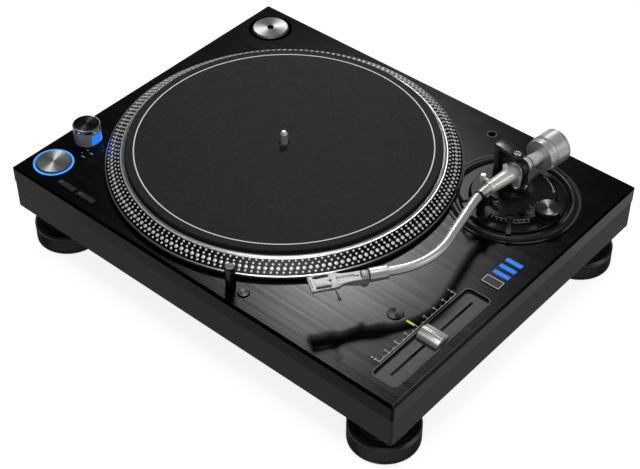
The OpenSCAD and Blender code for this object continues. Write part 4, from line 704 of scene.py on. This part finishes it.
cabinet_finish = grained("cabinet_matte", (0.017, 0.017, 0.0168), 0.5, scale=2200.0, bump=0.25, specular=0.3)
trim_finish = grained("trim_satin_black", (0.009, 0.009, 0.0095), 0.38, scale=3000.0, bump=0.06, specular=0.3)
gloss_finish = grained("gloss_black", (0.006, 0.006, 0.0065), 0.18, scale=600.0, bump=0.02, specular=0.2)
foot_finish = grained("foot_black", (0.012, 0.012, 0.0125), 0.3, scale=1600.0, bump=0.06, specular=0.45)
key_finish = grained("speed_key_black", (0.014, 0.014, 0.0145), 0.35, scale=1800.0, bump=0.08, specular=0.2)
yoke_finish = grained("yoke_black", (0.011, 0.011, 0.0115), 0.28, scale=2400.0, specular=0.4)

silver_finish = grained("satin_silver", (0.68, 0.68, 0.675), 0.34, 0.65, vary=0.06, scale=2600.0, bump=0.06)
shell_finish = grained("shell_satin", (0.44, 0.44, 0.435), 0.5, 0.85, vary=0.06, scale=2600.0, bump=0.08)
cream_finish = grained("pearl_silver", (0.8, 0.79, 0.75), 0.2, 0.35, vary=0.05, scale=2600.0)
chrome_finish = grained("chrome", (0.8, 0.8, 0.8), 0.12, 1.0, vary=0.05, bump=0.03)
wire_finish = grained("dark_wire", (0.1, 0.1, 0.1), 0.3, 0.8, bump=0.04)
nut_finish = grained("nut_bright", (0.74, 0.74, 0.735), 0.3, 0.8, vary=0.05, bump=0.04)
steel_finish = grained("turned_steel", (0.55, 0.55, 0.55), 0.26, 1.0, bump=0.06)
brass_finish = grained("plated_brass", (0.75, 0.58, 0.28), 0.25, 1.0)
dot_finish = grained("strobe_dot_bright", (0.92, 0.92, 0.91), 0.36, 0.4, vary=0.04, bump=0.02)

print_finish = grained("print_white", (0.78, 0.78, 0.77), 0.6, vary=0.08, scale=4000.0, bump=0.1)
# Dark print, also used as painted shade for the screw slots and the counterweight grooves.
dark_print_and_shade_finish = grained("dark_print_and_shade", (0.03, 0.03, 0.03), 0.6, vary=0.1, scale=4000.0, bump=0.1)
line_finish = grained("panel_line_grey", (0.13, 0.13, 0.13), 0.45, vary=0.08, scale=4000.0)
red_finish = grained("jack_ring_red", (0.5, 0.02, 0.02), 0.35)
white_finish = grained("jack_ring_white", (0.75, 0.75, 0.73), 0.35)
cap_finish = brushed("fader_cap_silver", (0.62, 0.62, 0.61), 0.38, 0.6)
lip_finish = spun_metal("platter_lip_turned", (0.75, 0.75, 0.74), 0.3, PLATTER_AXIS, 0.3, 0.08, 1800.0)

# What each solid wears.
for finish, names in (
    (make_deck_finish(), "deck_plate"), (make_platter_finish(), "platter"), (make_knob_finish(), "power_knob"),
    (make_indicator_finish(), "indicator_lights"), (make_start_ring_finish(), "start_ring"),
    (cabinet_finish, "base_cabinet jack_panel"), (brass_finish, "bearing_bush phono_jacks"),
    (steel_finish, "cabinet_screws fader_track ground_post"),
    (silver_finish, "bearing_housing spindle arm_tube force_dial counterweight"),
    (trim_finish, "shell_socket arm_well height_ring arm_rest rest_clip cue_lifter"),
    (gloss_finish, "power_inlet lock_knob"), (key_finish, "speed_button_33 speed_button_45 range_button cue_lever"),
    (cap_finish, "fader_cap"), (nut_finish, "shell_nut"), (wire_finish, "finger_lift"),
    (lit("strobe_window_blue", (0.008, 0.17, 0.85), 1.3), "strobe_window"),
    (brushed("pod_brushed", (0.52, 0.52, 0.51), 0.34, 0.55, stretch=(60, 60, 2200)), "strobe_housing"),
    (brushed("tempo_panel_dark", (0.013, 0.013, 0.013), 0.45, 0.0, math.pi / 2, 0.35, (6, 700, 700)), "tempo_panel"),
    (grained("cover_paint", (0.03, 0.03, 0.031), 0.6, scale=1200.0, bump=0.2, specular=0.3), "bottom_cover"),
    (grained("board_green", (0.02, 0.12, 0.05), 0.4, scale=500.0, bump=0.1), "circuit_boards"),
    (grained("coil_copper", (0.6, 0.3, 0.14), 0.35, 1.0, scale=700.0, bump=0.3), "motor_stator"),
    (grained("sintered_magnet", (0.08, 0.08, 0.085), 0.6, scale=900.0, bump=0.3), "rotor_magnet"),
    (grained("arm_base_satin", (0.012, 0.012, 0.0123), 0.4, scale=3000.0, bump=0.06, specular=0.25), "arm_base"),
    (grained("lamp_gloss_black", (0.004, 0.004, 0.0042), 0.2, scale=600.0, bump=0.005, specular=0.4), "stylus_lamp"),
    (spun_metal("button_black_turned", (0.02, 0.02, 0.0205), 0.22, LAMP_BUTTON_AXIS, 0.8, 0.5), "lamp_button"),
    (spun_metal("start_button_turned", (0.62, 0.62, 0.61), 0.26, START_AXIS), "start_button"),
    (spun_metal("reset_button_turned", (0.008, 0.008, 0.0082), 0.16, RESET_AXIS, 0.85, 0.4), "reset_button"),
    (spun_metal("skating_dial_turned", (0.13, 0.13, 0.128), 0.2, ARM_PIVOT + SKATE_OFFSET, 0.85, 0.4),
     "antiskate_dial"),
    (spun_metal("adapter_turned", (0.24, 0.24, 0.236), 0.36, ADAPTER_AXIS), "adapter_45"),
    (grained("sole_rubber", (0.02, 0.02, 0.02), 0.85, scale=900.0, bump=0.35, specular=0.2),
     " ".join("sole_" + spot for spot in FOOT_SPOTS)),
):
    for name in names.split():
        nodes[name].data.materials.clear()
        nodes[name].data.materials.append(finish)


# The slipmat, the bright lip of the platter and the strobe dots on the bevel below it.

def make_felt_mat():
    hole = 0.00435
    edge = 0.0007
    low, top = MAT_TOP - MAT_THICKNESS, MAT_TOP
    rings = [(hole, low), (hole, top - edge), (hole + edge, top), (0.03, top), (0.075, top), (0.12, top),
             (MAT_RADIUS - edge, top), (MAT_RADIUS, top - edge), (MAT_RADIUS, low), (hole, low)]
    mat = put_on(turned(rings, 192), "felt_slipmat", "mat_body", felt_finish, above(PLATTER_AXIS))
    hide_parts("slipmat")


def make_platter_lip():
    """A sloped lip between the mat and the dots, with a small flat at its crest."""
    inner, outer, crest, foot = RING_INNER + 0.0003, RING_OUTER - 0.0001, DECK_TOP + 0.0137, DECK_TOP + 0.0125
    lip = turned([(inner, foot), (inner, crest - 0.0002), (inner + 0.0002, crest), (inner + 0.0005, crest),
                  (outer, foot + 0.0001), (outer, foot), (inner, foot)], 240)
    put_on(lip, "platter_lip", "platter_body", lip_finish, above(PLATTER_AXIS), 30)


def make_strobe_dots():
    """Four rows of raised round dots down the bevel, the third row larger."""
    top = Vector((RING_OUTER + 0.0003, DECK_TOP + 0.0125))
    foot = Vector((PLATTER_RADIUS, DECK_TOP + 0.0046))
    slope = math.degrees(math.atan2(top.y - foot.y, foot.x - top.x))
    sunk, rise = -0.0002, 0.0003
    rows = []
    for count, along, radius in ((170, 0.13, 0.0010), (174, 0.32, 0.0011), (180, 0.55, 0.0017), (186, 0.77, 0.0011)):
        spot = top.lerp(foot, along)
        dot = turned([(radius, sunk), (radius, 0.6 * rise), (0.86 * radius, rise)], 12)
        rows.append(ring_of(placed(dot, at(spot.x, 0, spot.y) @ spin(slope, "Y")), count))
    put_on(rows, "strobe_dots", "platter_body", dot_finish, above(PLATTER_AXIS), 60)


make_felt_mat()
make_platter_lip()
make_strobe_dots()


# Screw feet with a ribbed grip.

def make_foot():
    grip_low, grip_high = 0.0035, 0.0165
    profile = [(0.0294, 0.005), (0.0294, 0.0018), (0.0298, 0.0015), (0.0314, 0.0015), (0.032, 0.0021),
               (0.032, grip_low), (0.032, grip_high), (0.0316, 0.0169), (0.0316, 0.0177), (0.032, 0.0181),
               (0.032, 0.0195), (0.0305, 0.021), (0.0226, 0.021), (0.022, 0.0216), (0.022, 0.0389),
               (0.0214, 0.0395), (0.005, 0.0395), (0.005, 0.0609), (0.0044, 0.0615)]
    return ribbed(turned(profile, 128), grip_low, grip_high, 0.00022, 0.0006)


def make_feet():
    pattern = make_foot()
    for spot, (x, y) in FOOT_SPOTS.items():
        foot = pattern.copy()
        foot.data = pattern.data.copy()
        scene.collection.objects.link(foot)
        put_on(foot, "ribbed_foot_" + spot, "foot_" + spot + "_body", foot_finish, at(x, y), 30)
        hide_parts("foot_" + spot)
    bpy.data.objects.remove(pattern)


make_feet()


# Printed marks on the deck.

def on_deck(piece, x, y, turn=0.0):
    return placed(piece, at(x, y, DECK_TOP, turn))


def make_tempo_scale():
    """The line beside the fader with its ticks and numbers, and a sign at each end."""
    x, first, step = 0.187, -0.0427, -0.01276
    last = first + 8 * step
    line, number_gap, sign_gap, sign = 0.0004, 0.0046, 0.0078, 0.002
    marks = [on_deck(strip(0.0003, first - last), x, (first + last) / 2)]
    for i in range(17):
        width = 0.0034 if i % 2 == 0 else 0.0018
        marks.append(on_deck(strip(width, line), x - width / 2, first + i * step / 2))
    for i, text in enumerate(("8", "6", "4", "2", "", "2", "4", "6", "8")):
        if text:
            marks.append(on_deck(numeral(text, 0.0034), x - number_gap, first + i * step))
    for width, depth, y in ((sign, line, first), (sign, line, last), (line, sign, last)):
        marks.append(on_deck(strip(width, depth), x - sign_gap, y))
    put_on(marks, "tempo_scale", "chassis", print_finish)


def make_panel_lines():
    """The line round the fader panel and the one on top of the range key."""
    put_on(outline(0.0262, 0.1305, 0.005), "tempo_frame_line", "chassis", line_finish,
           above(TEMPO_MIDDLE, DECK_TOP))
    put_on(outline(0.0176, 0.0096, 0.0006), "range_key_line", "range_button_body", print_finish,
           above(RANGE_MIDDLE, DECK_TOP + 0.0009))


def make_power_marks():
    """ON and OFF beside the power knob, each with a small diamond."""
    letter, diamond = 0.0026, 0.0009
    marks = [on_deck(numeral("ON", letter), -0.1835, -0.1163), on_deck(numeral("OFF", letter), -0.1862, -0.1240),
             on_deck(strip(diamond, diamond), -0.1898, -0.1147, 45),
             on_deck(strip(diamond, diamond), -0.1912, -0.1205, 45)]
    put_on(marks, "power_marks", "chassis", print_finish)


def make_speed_marks():
    key_top = DECK_TOP + 0.0008
    for text, x in (("33", -0.1735), ("45", -0.1483)):
        put_on(numeral(text, 0.0036), "speed_mark_" + text, "speed_button_" + text + "_body", key_mark_finish,
               at(x, -0.1621, key_top))


make_tempo_scale()
make_panel_lines()
make_power_marks()
make_speed_marks()


# Marks and small parts of the arm base.

def make_height_marks():
    """Two rows of graduations round the front wall of the arm base drum."""
    wall = DRUM_RADIUS + 0.00001
    marks = []
    for start, end in ((-84, -64), (-54, -33)):
        for z in (0.0040, 0.0074):
            marks.append(placed(arc_strip(wall, PRINT_THICKNESS, start, end, 0.0003), at(0, 0, DECK_TOP + z)))
        for i in range(4):
            upright = spin(start + (end - start) * i / 3 + 90) @ at(0, -wall, DECK_TOP + 0.00585) @ spin(90, "X")
            marks.append(placed(strip(0.0003, 0.0034), upright))
    put_on(marks, "height_marks", "base_body", print_finish, above(ARM_PIVOT))


def make_drum_marks():
    """An arrow round the rear of the drum and a scale round the anti-skating dial."""
    radius, tip, lean, barb = 0.0362, 38, 28, 0.0026
    marks = [placed(arc_strip(radius, 0.0005, 40, 76), at(0, 0, DRUM_TOP))]
    for side in (-1, 1):
        place = above(polar(radius, tip), DRUM_TOP) @ spin(tip + side * lean) @ at(0, barb / 2)
        marks.append(placed(strip(0.0004, barb), place))
    for i in range(8):
        direction = 112 + i * 15
        spot = SKATE_OFFSET + polar(0.0145, direction)
        if spot.length < DRUM_RADIUS - 0.0012:
            marks.append(placed(strip(0.0011, 0.0003), above(spot, DRUM_TOP) @ spin(direction)))
        if i % 2 == 1:
            marks.append(placed(numeral(str(i), 0.0022), above(SKATE_OFFSET + polar(0.017, direction), DRUM_TOP)))
    put_on(marks, "drum_marks", "base_body", print_finish, above(ARM_PIVOT))


def make_skate_grip():
    """Ribs round the anti-skating dial."""
    low, high = DECK_TOP + 0.0068, DECK_TOP + 0.0151
    grip = ribbed(band(0.0109, 0.01118, low, high, 0.0003, 72), low, high, 0.00014, 0.0003)
    put_on(grip, "skating_dial_grip", "skate_body", trim_finish, above(ARM_PIVOT + SKATE_OFFSET), 30)


def make_base_screws():
    """Three small screw heads on the drum top."""
    heads = []
    for direction in (20, 150, 262):
        head = turned([(0.0016, 0), (0.0016, 0.00012), (0.0013, 0.00022), (0.0004, 0.00022)], 24)
        heads.append(placed(head, above(ARM_PIVOT + polar(0.0205, direction), DRUM_TOP)))
    put_on(heads, "drum_screws", "base_body", steel_finish)


make_height_marks()
make_drum_marks()
make_skate_grip()
make_base_screws()


# The yoke and the gimbal ring.

def make_yoke():
    """A post beside the gimbal, a beam from its top to the pivot screw, and that screw with a dark strip on its head
    as the painted shade of its slot.
    """
    foot, waist, beam, top = 0.0085, 0.0265, 0.0475, 0.0511
    left, post, depth, front = -0.024, 0.0065, 0.013, -0.004
    yoke = sized_cube((post, depth, top - foot), (left + post / 2, front + depth / 2, (foot + top) / 2))
    cut_across(yoke, (waist, beam))
    edit(yoke)
    pick_faces(yoke, lambda c, n: n.x > 0.9 and c.z > beam)
    pull(-left - post, -front - depth / 2, 0)
    stretch(1, 0.011 / depth, 1)
    pick_corners(yoke, lambda v: near(v.z, waist))
    stretch(1, 0.78, 1, (0, front + depth / 2, 0))
    leave_edit()
    yoke = join([yoke, tube(0.0014, 0.0055, beam, top, 48)])
    bevel_edges(yoke, 0.0008, 3)
    put_on(yoke, "yoke_arch", "base_body", yoke_finish, ARM_FOOT, 35)
    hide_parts("arm_yoke")
    head = top + 0.0015
    screw = turned([(0.0018, 0.0446), (0.0018, top), (0.0036, top), (0.0036, head - 0.0005), (0.0031, head)], 48)
    put_on(screw, "pivot_screw_head", "base_body", chrome_finish, ARM_FOOT, 35)
    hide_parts("pivot_screw")
    # A dark strip on the screw head: painted shade where the slot is.
    put_on(strip(0.0056, 0.0009), "pivot_screw_slot_shade", "base_body", dark_print_and_shade_finish,
           ARM_FOOT @ at(0, 0, head, 30))


def make_gimbal():
    """A ring with rounded corners, drawn in above its two side bosses, with a screw in each boss and a dark strip on
    each screw head as the painted shade of its slot.
    """
    low, high, half, depth, wall = 0.013, 0.047, 0.0128, 0.008, 0.003
    narrowed = {0.026: 0.8, 0.0315: 0.6, 0.0365: 0.74}
    boss_height, screw_top = 0.021, 0.0018
    ring = sized_cube((2 * half, depth, high - low), (0, 0, (low + high) / 2))
    edit(ring)
    pick(ring, "EDGE", lambda edge: abs(edge.verts[0].co.y - edge.verts[1].co.y) > depth / 2)
    bpy.ops.mesh.bevel(offset=0.008, segments=5)
    pick_faces(ring, lambda c, n: abs(n.y) > 0.9)
    bpy.ops.mesh.inset(thickness=wall, use_individual=True)
    bpy.ops.mesh.delete(type="FACE")
    pick_open_edges()
    bpy.ops.mesh.bridge_edge_loops()
    leave_edit()
    cut_across(ring, narrowed)
    edit(ring)
    for height, share in narrowed.items():
        pick_corners(ring, lambda v: near(v.z, height))
        stretch(1, share, 1)
    face_outward()
    bevel_edges(ring, 0.0006)
    bosses, heads, slots = [], [], []
    for side in (-1, 1):
        place = at(side * half, 0, boss_height) @ spin(side * 90, "Y")
        bosses.append(placed(turned([(0.005, -0.0012), (0.005, 0.0005), (0.0044, 0.001)], 40), place))
        heads.append(placed(turned([(0.0028, 0.0004), (0.0028, 0.0014), (0.0024, screw_top)], 40), place))
        # Dark strips on the screw heads: painted shade where the slots are.
        slots.append(placed(strip(0.0044, 0.0008), place @ at(0, 0, screw_top, 60)))
    ring = put_on([ring] + bosses, "gimbal_frame", "gimbal_body", yoke_finish, ARM_FOOT, 35)
    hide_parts("gimbal_ring")
    put_on(heads, "gimbal_screws", "gimbal_body", chrome_finish, ARM_FOOT, 35)
    put_on(slots, "gimbal_screw_slot_shades", "gimbal_body", dark_print_and_shade_finish, ARM_FOOT)


make_yoke()
make_gimbal()


# The tonearm, its rings and its marks, made round the arm's own axis.

def arm_ring(radius, inner, start, length, edge=0.0003):
    """A ring round the arm axis, from a distance ahead of the pivot."""
    end = start + length
    ring = turned([(inner, start), (radius - edge, start), (radius, start + edge), (radius, end - edge),
                   (radius - edge, end), (inner, end), (inner, start)], 64)
    return placed(ring, AHEAD)


def make_housing():
    """A slim turned housing with the tail shaft, its two lugs for the gimbal, its ear and its small side weight."""
    profile = [(0.004, 0.035), (0.0053, 0.035), (0.0054, 0.0306), (0.0058, 0.0303), (0.0067, 0.0135),
               (0.0069, 0.002), (0.0069, -0.0132), (0.0063, -0.014), (0.006, -0.0146), (0.006, -0.0236),
               (0.0055, -0.024), (0.0055, -0.0475)]
    lug_side, weight_back, weight_side = 0.0078, -0.028, -0.013
    parts = [placed(turned(profile, 64), AHEAD)]
    for side in (-1, 1):
        lug = sized_cube((0.003, 0.0066, 0.01), (side * lug_side, 0, -0.006))
        bevel_edges(lug, 0.0005)
        eye = turned([(0.0033, -0.0015), (0.0033, 0.0015)], 40)
        parts += [lug, placed(eye, at(side * lug_side, 0, -0.011) @ spin(90, "Y"))]
    parts.append(placed(turned([(0.0026, 0), (0.0026, 0.0082), (0.0014, 0.0094)], 40), at(-0.005, -0.0085)))
    stub = turned([(0.0018, 0), (0.0018, -weight_side)], 32)
    parts.append(placed(stub, at(0, weight_back) @ spin(-90, "Y")))
    weight = turned([(0.0022, -0.006), (0.0026, -0.0056), (0.0026, 0.0034), (0.002, 0.004)], 40)
    parts.append(placed(weight, at(weight_side, weight_back)))
    housing = put_on(parts, "slim_housing", "arm_body", cream_finish, ARM_PLACE, 30)
    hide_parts("arm_housing")


def make_arm_rings():
    """A dark band round the housing's rear, and one on the tube a little way into its first bend."""
    rear = arm_ring(0.0063, 0.0058, -0.0172, 0.0011)
    put_on(rear, "housing_band", "arm_body", gloss_finish, ARM_PLACE)
    tube_start, bend, along = -0.035, 0.072, 0.01366
    heading = along / bend
    spot = at(bend * (1 - math.cos(heading)), tube_start - bend * math.sin(heading), 0, math.degrees(heading))
    ahead = arm_ring(0.0046, 0.0041, -0.00175, 0.0035)
    put_on(ahead, "tube_band", "arm_body", trim_finish, ARM_PLACE @ spot)


def make_weight_lines():
    """Two thin dark rings round the counterweight, painted shade where turned grooves are."""
    lines = [arm_ring(0.01603, 0.0157, start, 0.0005, 0.00005) for start in (-0.0398, -0.0540)]
    put_on(lines, "weight_groove_shades", "weight_body", dark_print_and_shade_finish, ARM_PLACE)


def make_force_marks():
    """Graduations and numbers on the front face of the tracking force dial."""
    face = -0.031
    marks = [ring_of(placed(strip(0.0003, 0.0018), at(0, 0.0128)), 40)]
    for i in range(5):
        marks.append(placed(numeral(str(i), 0.0028), spin(-72 * i) @ at(0, 0.0101)))
    put_on(marks, "force_marks", "force_body", dark_print_and_shade_finish, ARM_PLACE @ AHEAD @ at(0, 0, face))


def make_force_grip():
    low, high = -0.0366, -0.0325
    grip = ribbed(band(0.0148, 0.01515, low, high, 0.0003, 90), low, high, 0.00014, 0.0003)
    put_on(grip, "force_dial_grip", "force_body", silver_finish, ARM_PLACE @ AHEAD, 30)


def make_nut_grip():
    """Two broad raised rings on the shell nut, the rear one ribbed, and the dark seal in front of it."""
    inner, outer, edge, low, high = 0.0058, 0.00622, 0.0004, 0.0091, 0.0152
    grip = ribbed(band(inner, outer, low, high, edge, 48), low, high, 0.00012, 0.0002)
    front = band(inner, outer, 0.0168, 0.0225, edge, 64)
    put_on([grip, front], "shell_nut_grip", "nut_body", nut_finish, HEAD_PLACE @ AHEAD, 30)
    seal = tube(0.0046, 0.0057, 0.02405, 0.02455, 48)
    put_on(seal, "shell_seal", "shell_body", trim_finish, HEAD_PLACE @ AHEAD)


def make_shell_plate():
    """The top plate: broad round its slots, then a waist, with two small holes and a shallow channel."""
    reaches = [(SHELL_FRONT, 0.0082), (-0.0738, 0.0088), (-0.0532, 0.0088), (-0.0512, 0.0084), (-0.0486, 0.0068),
               (-0.0462, 0.0059), (-0.043, 0.0055), (-0.037, 0.0053), (SHELL_BACK, 0.0053)]
    half = reaches[-1][1]
    plate = sized_cube((2 * half, SHELL_BACK - SHELL_FRONT, SHELL_TOP - SHELL_LOW),
                       (0, (SHELL_FRONT + SHELL_BACK) / 2, (SHELL_TOP + SHELL_LOW) / 2))
    cut_across(plate, [spot for spot, reach in reaches[1:-1]], (0, 1, 0))
    edit(plate)
    for spot, reach in reaches:
        pick_corners(plate, lambda v: near(v.y, spot))
        stretch(reach / half, 1, 1)
    leave_edit()
    cutters = []
    for x in SHELL_SLOTS:
        cutters.append(placed(rounded_block(0.0034, 0.0132, 0.006, 0.0016), at(x, SHELL_FRONT + 0.011, -0.003)))
    for back, radius in ((0.0178, 0.0011), (0.0412, 0.0009)):
        cutters.append(placed(turned([(radius, -0.003), (radius, 0.003)], 24), at(0, SHELL_FRONT + back)))
    channel = rounded_block(0.0042, 0.0165, 0.002, 0.002)
    cutters.append(placed(channel, at(0, SHELL_FRONT + 0.0312, SHELL_TOP - 0.0006)))
    cut_out(plate, cutters)
    return plate


def make_shell_wall(side):
    """A side wall that deepens to the rear and ends in a tab."""
    thick = 0.0012
    drops = [(-0.048, 0.0002), (-0.0425, 0.0016), (-0.0365, 0.0032), (-0.0318, 0.004), (-0.0306, 0.0064),
             (-0.0266, 0.0064), (SHELL_BACK, 0.003)]
    front = drops[0][0]
    wall = sized_cube((thick, SHELL_BACK - front, thick),
                      (side * 0.0047, (front + SHELL_BACK) / 2, SHELL_LOW + thick / 2))
    cut_across(wall, [spot for spot, drop in drops[1:-1]], (0, 1, 0))
    edit(wall)
    for spot, drop in drops:
        pick_corners(wall, lambda v: near(v.y, spot) and near(v.z, SHELL_LOW))
        slide(0, 0, -drop)
    leave_edit()
    return wall


def make_shell():
    """The headshell with its plug, and the dark line along its front edge."""
    plug = turned([(0.004, 0.015), (0.004, 0.0246), (0.005, 0.0246), (0.005, 0.03), (0.0044, 0.0306)], 48)
    shell = join([make_shell_plate(), make_shell_wall(-1), make_shell_wall(1), placed(plug, AHEAD)])
    bevel_edges(shell, 0.0002)
    put_on(shell, "waisted_shell", "shell_body", shell_finish, HEAD_PLACE, 30)
    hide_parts("headshell")
    put_on(strip(0.0104, 0.0006), "shell_front_line", "shell_body", dark_print_and_shade_finish,
           HEAD_PLACE @ at(0, SHELL_FRONT + 0.0018, SHELL_TOP))


make_housing()
make_arm_rings()
make_weight_lines()
make_force_marks()
make_force_grip()
make_nut_grip()
make_shell()


# Small parts of the controls and of the rear panel.

def make_fader_saddle():
    """The cap's hollow flanks, which rise to the ridge, and the dark line along the ridge."""
    ridge = 0.0047
    flank = [(0.0086, -0.002), (0.0085, -0.0004), (0.007, 0.0022), (0.0048, 0.0025), (0.003, 0.0032),
             (0.0019, 0.0043), (0.0014, ridge)]
    saddle = drawn(flank + [(-y, z) for y, z in reversed(flank)], 0.0215)
    bevel_edges(saddle, 0.0003)
    put_on(saddle, "fader_cap_saddle", "fader_body", cap_finish, above(TEMPO_MIDDLE, DECK_TOP), 30)
    put_on(strip(0.0208, 0.0008), "fader_cap_line", "fader_body", dark_print_and_shade_finish,
           above(TEMPO_MIDDLE, DECK_TOP + ridge))


def make_lamp_details():
    """A dark strip across the top of the stylus lamp as painted shade where its notch is, and a dark metal ring under
    its cap.
    """
    put_on(strip(0.0088, 0.0016), "stylus_lamp_notch_shade", "lamp_body", gloss_finish,
           above(LAMP_AXIS, DECK_TOP + 0.0225) @ spin(35))
    ring = band(0.0047, 0.00482, 0.0178, 0.0189, 0.0002, 40)
    put_on(ring, "stylus_lamp_ring", "lamp_body", wire_finish, above(LAMP_AXIS, DECK_TOP))


def make_jack_rings():
    """The white and the red ring round the two phono jacks."""
    for name, x, finish in (("left", 0.075, white_finish), ("right", 0.095, red_finish)):
        ring = turned([(0.0044, 0.0015), (0.0057, 0.0015), (0.0057, 0.0027), (0.0052, 0.0031), (0.0044, 0.0031),
                       (0.0044, 0.0015)], 40)
        put_on(ring, "jack_ring_" + name, "chassis", finish, at(x, 0.160, 0.055) @ spin(-90, "X"))


make_fader_saddle()
make_lamp_details()
make_jack_rings()


# Stage, light and camera.

def make_floor():
    """A pale floor that is seen from above only, and that mirrors in the part at a third of its brightness."""
    floor = added(bpy.ops.mesh.primitive_plane_add, (0, 0, -0.0005), size=60)
    floor.name = "studio_floor"
    material = bpy.data.materials.new("studio_floor_pale")
    material.use_nodes = True
    tree = material.node_tree
    tree.nodes.clear()
    path = tree.nodes.new("ShaderNodeLightPath").outputs
    mirrored = math_node(tree, "MULTIPLY", path["Is Glossy Ray"], 0.35)
    seen = math_node(tree, "ADD", path["Is Camera Ray"], path["Is Transmission Ray"])
    seen = math_node(tree, "ADD", seen, mirrored, clamp=True)
    diffuse = new_node(tree, "ShaderNodeBsdfDiffuse", Color=(0.35, 0.35, 0.35, 1))
    glow = new_node(tree, "ShaderNodeEmission", Strength=math_node(tree, "MULTIPLY", seen, 0.86))
    total = tree.nodes.new("ShaderNodeAddShader")
    feed(tree, total.inputs[0], diffuse.outputs[0])
    feed(tree, total.inputs[1], glow.outputs[0])
    one_sided = tree.nodes.new("ShaderNodeMixShader")
    feed(tree, one_sided.inputs[0], tree.nodes.new("ShaderNodeNewGeometry").outputs["Backfacing"])
    feed(tree, one_sided.inputs[1], total.outputs[0])
    feed(tree, one_sided.inputs[2], tree.nodes.new("ShaderNodeBsdfTransparent").outputs[0])
    new_node(tree, "ShaderNodeOutputMaterial", Surface=one_sided.outputs[0])
    floor.data.materials.append(material)


def make_world():
    """White where the camera sees it, and dim as a source of light."""
    world = bpy.data.worlds.new("studio")
    scene.world = world
    world.use_nodes = True
    tree = world.node_tree
    background = tree.nodes["Background"]
    path = tree.nodes.new("ShaderNodeLightPath").outputs
    seen = math_node(tree, "ADD", path["Is Camera Ray"], path["Is Transmission Ray"], clamp=True)
    strength = new_node(tree, "ShaderNodeMapRange", Value=seen, To_Min=0.085, To_Max=1.0)
    feed(tree, background.inputs["Strength"], strength.outputs[0])
    background.inputs["Color"].default_value = (1, 1, 1, 1)


def area_light(name, place, aim, width, depth, watts, turn=0.0):
    lamp = bpy.data.lights.new(name, "AREA")
    setup(lamp, shape="RECTANGLE", size=width, size_y=depth, energy=watts)
    holder = bpy.data.objects.new(name, lamp)
    scene.collection.objects.link(holder)
    holder.location = place
    aimed = (Vector(aim) - Vector(place)).to_track_quat("-Z", "Y").to_matrix()
    holder.rotation_euler = (Matrix.Rotation(math.radians(turn), 3, "Z") @ aimed).to_euler()


def make_lights():
    area_light("key_softbox", (-0.647, 0.829, 1.1), (-0.647, 0.829, 0), 0.33, 0.43, 8.6, -19)
    area_light("key_core", (-0.571, 0.713, 1.09), (-0.571, 0.713, 0), 0.13, 0.18, 2.6, -19)
    area_light("front_fill", (1.2, -1.6, 0.9), (0, 0, 0.06), 1.4, 1.0, 5)
    area_light("side_fill", (1.5, 0.5, 0.8), (0.15, 0.05, 0.1), 0.9, 0.9, 4)
    area_light("top_soft", (0.2, -0.3, 1.8), (0.05, -0.1, 0), 0.8, 0.8, 11)


def make_camera():
    camera = bpy.data.objects.new("camera", bpy.data.cameras.new("camera"))
    scene.collection.objects.link(camera)
    azimuth, elevation, roll, distance = math.radians(40.917), math.radians(42.3336), -0.0743, 1.322087
    back = Vector((math.sin(azimuth) * math.cos(elevation), -math.cos(azimuth) * math.cos(elevation),
                   math.sin(elevation)))
    target = Vector((0.051528, -0.061233, DECK_TOP))
    facing = back.to_track_quat("Z", "Y").to_matrix().to_4x4()
    camera.matrix_world = Matrix.Translation(target + back * distance) @ facing @ spin(roll)
    setup(camera.data, sensor_width=36, lens=84.616)
    scene.camera = camera


make_floor()
make_world()
make_lights()
make_camera()
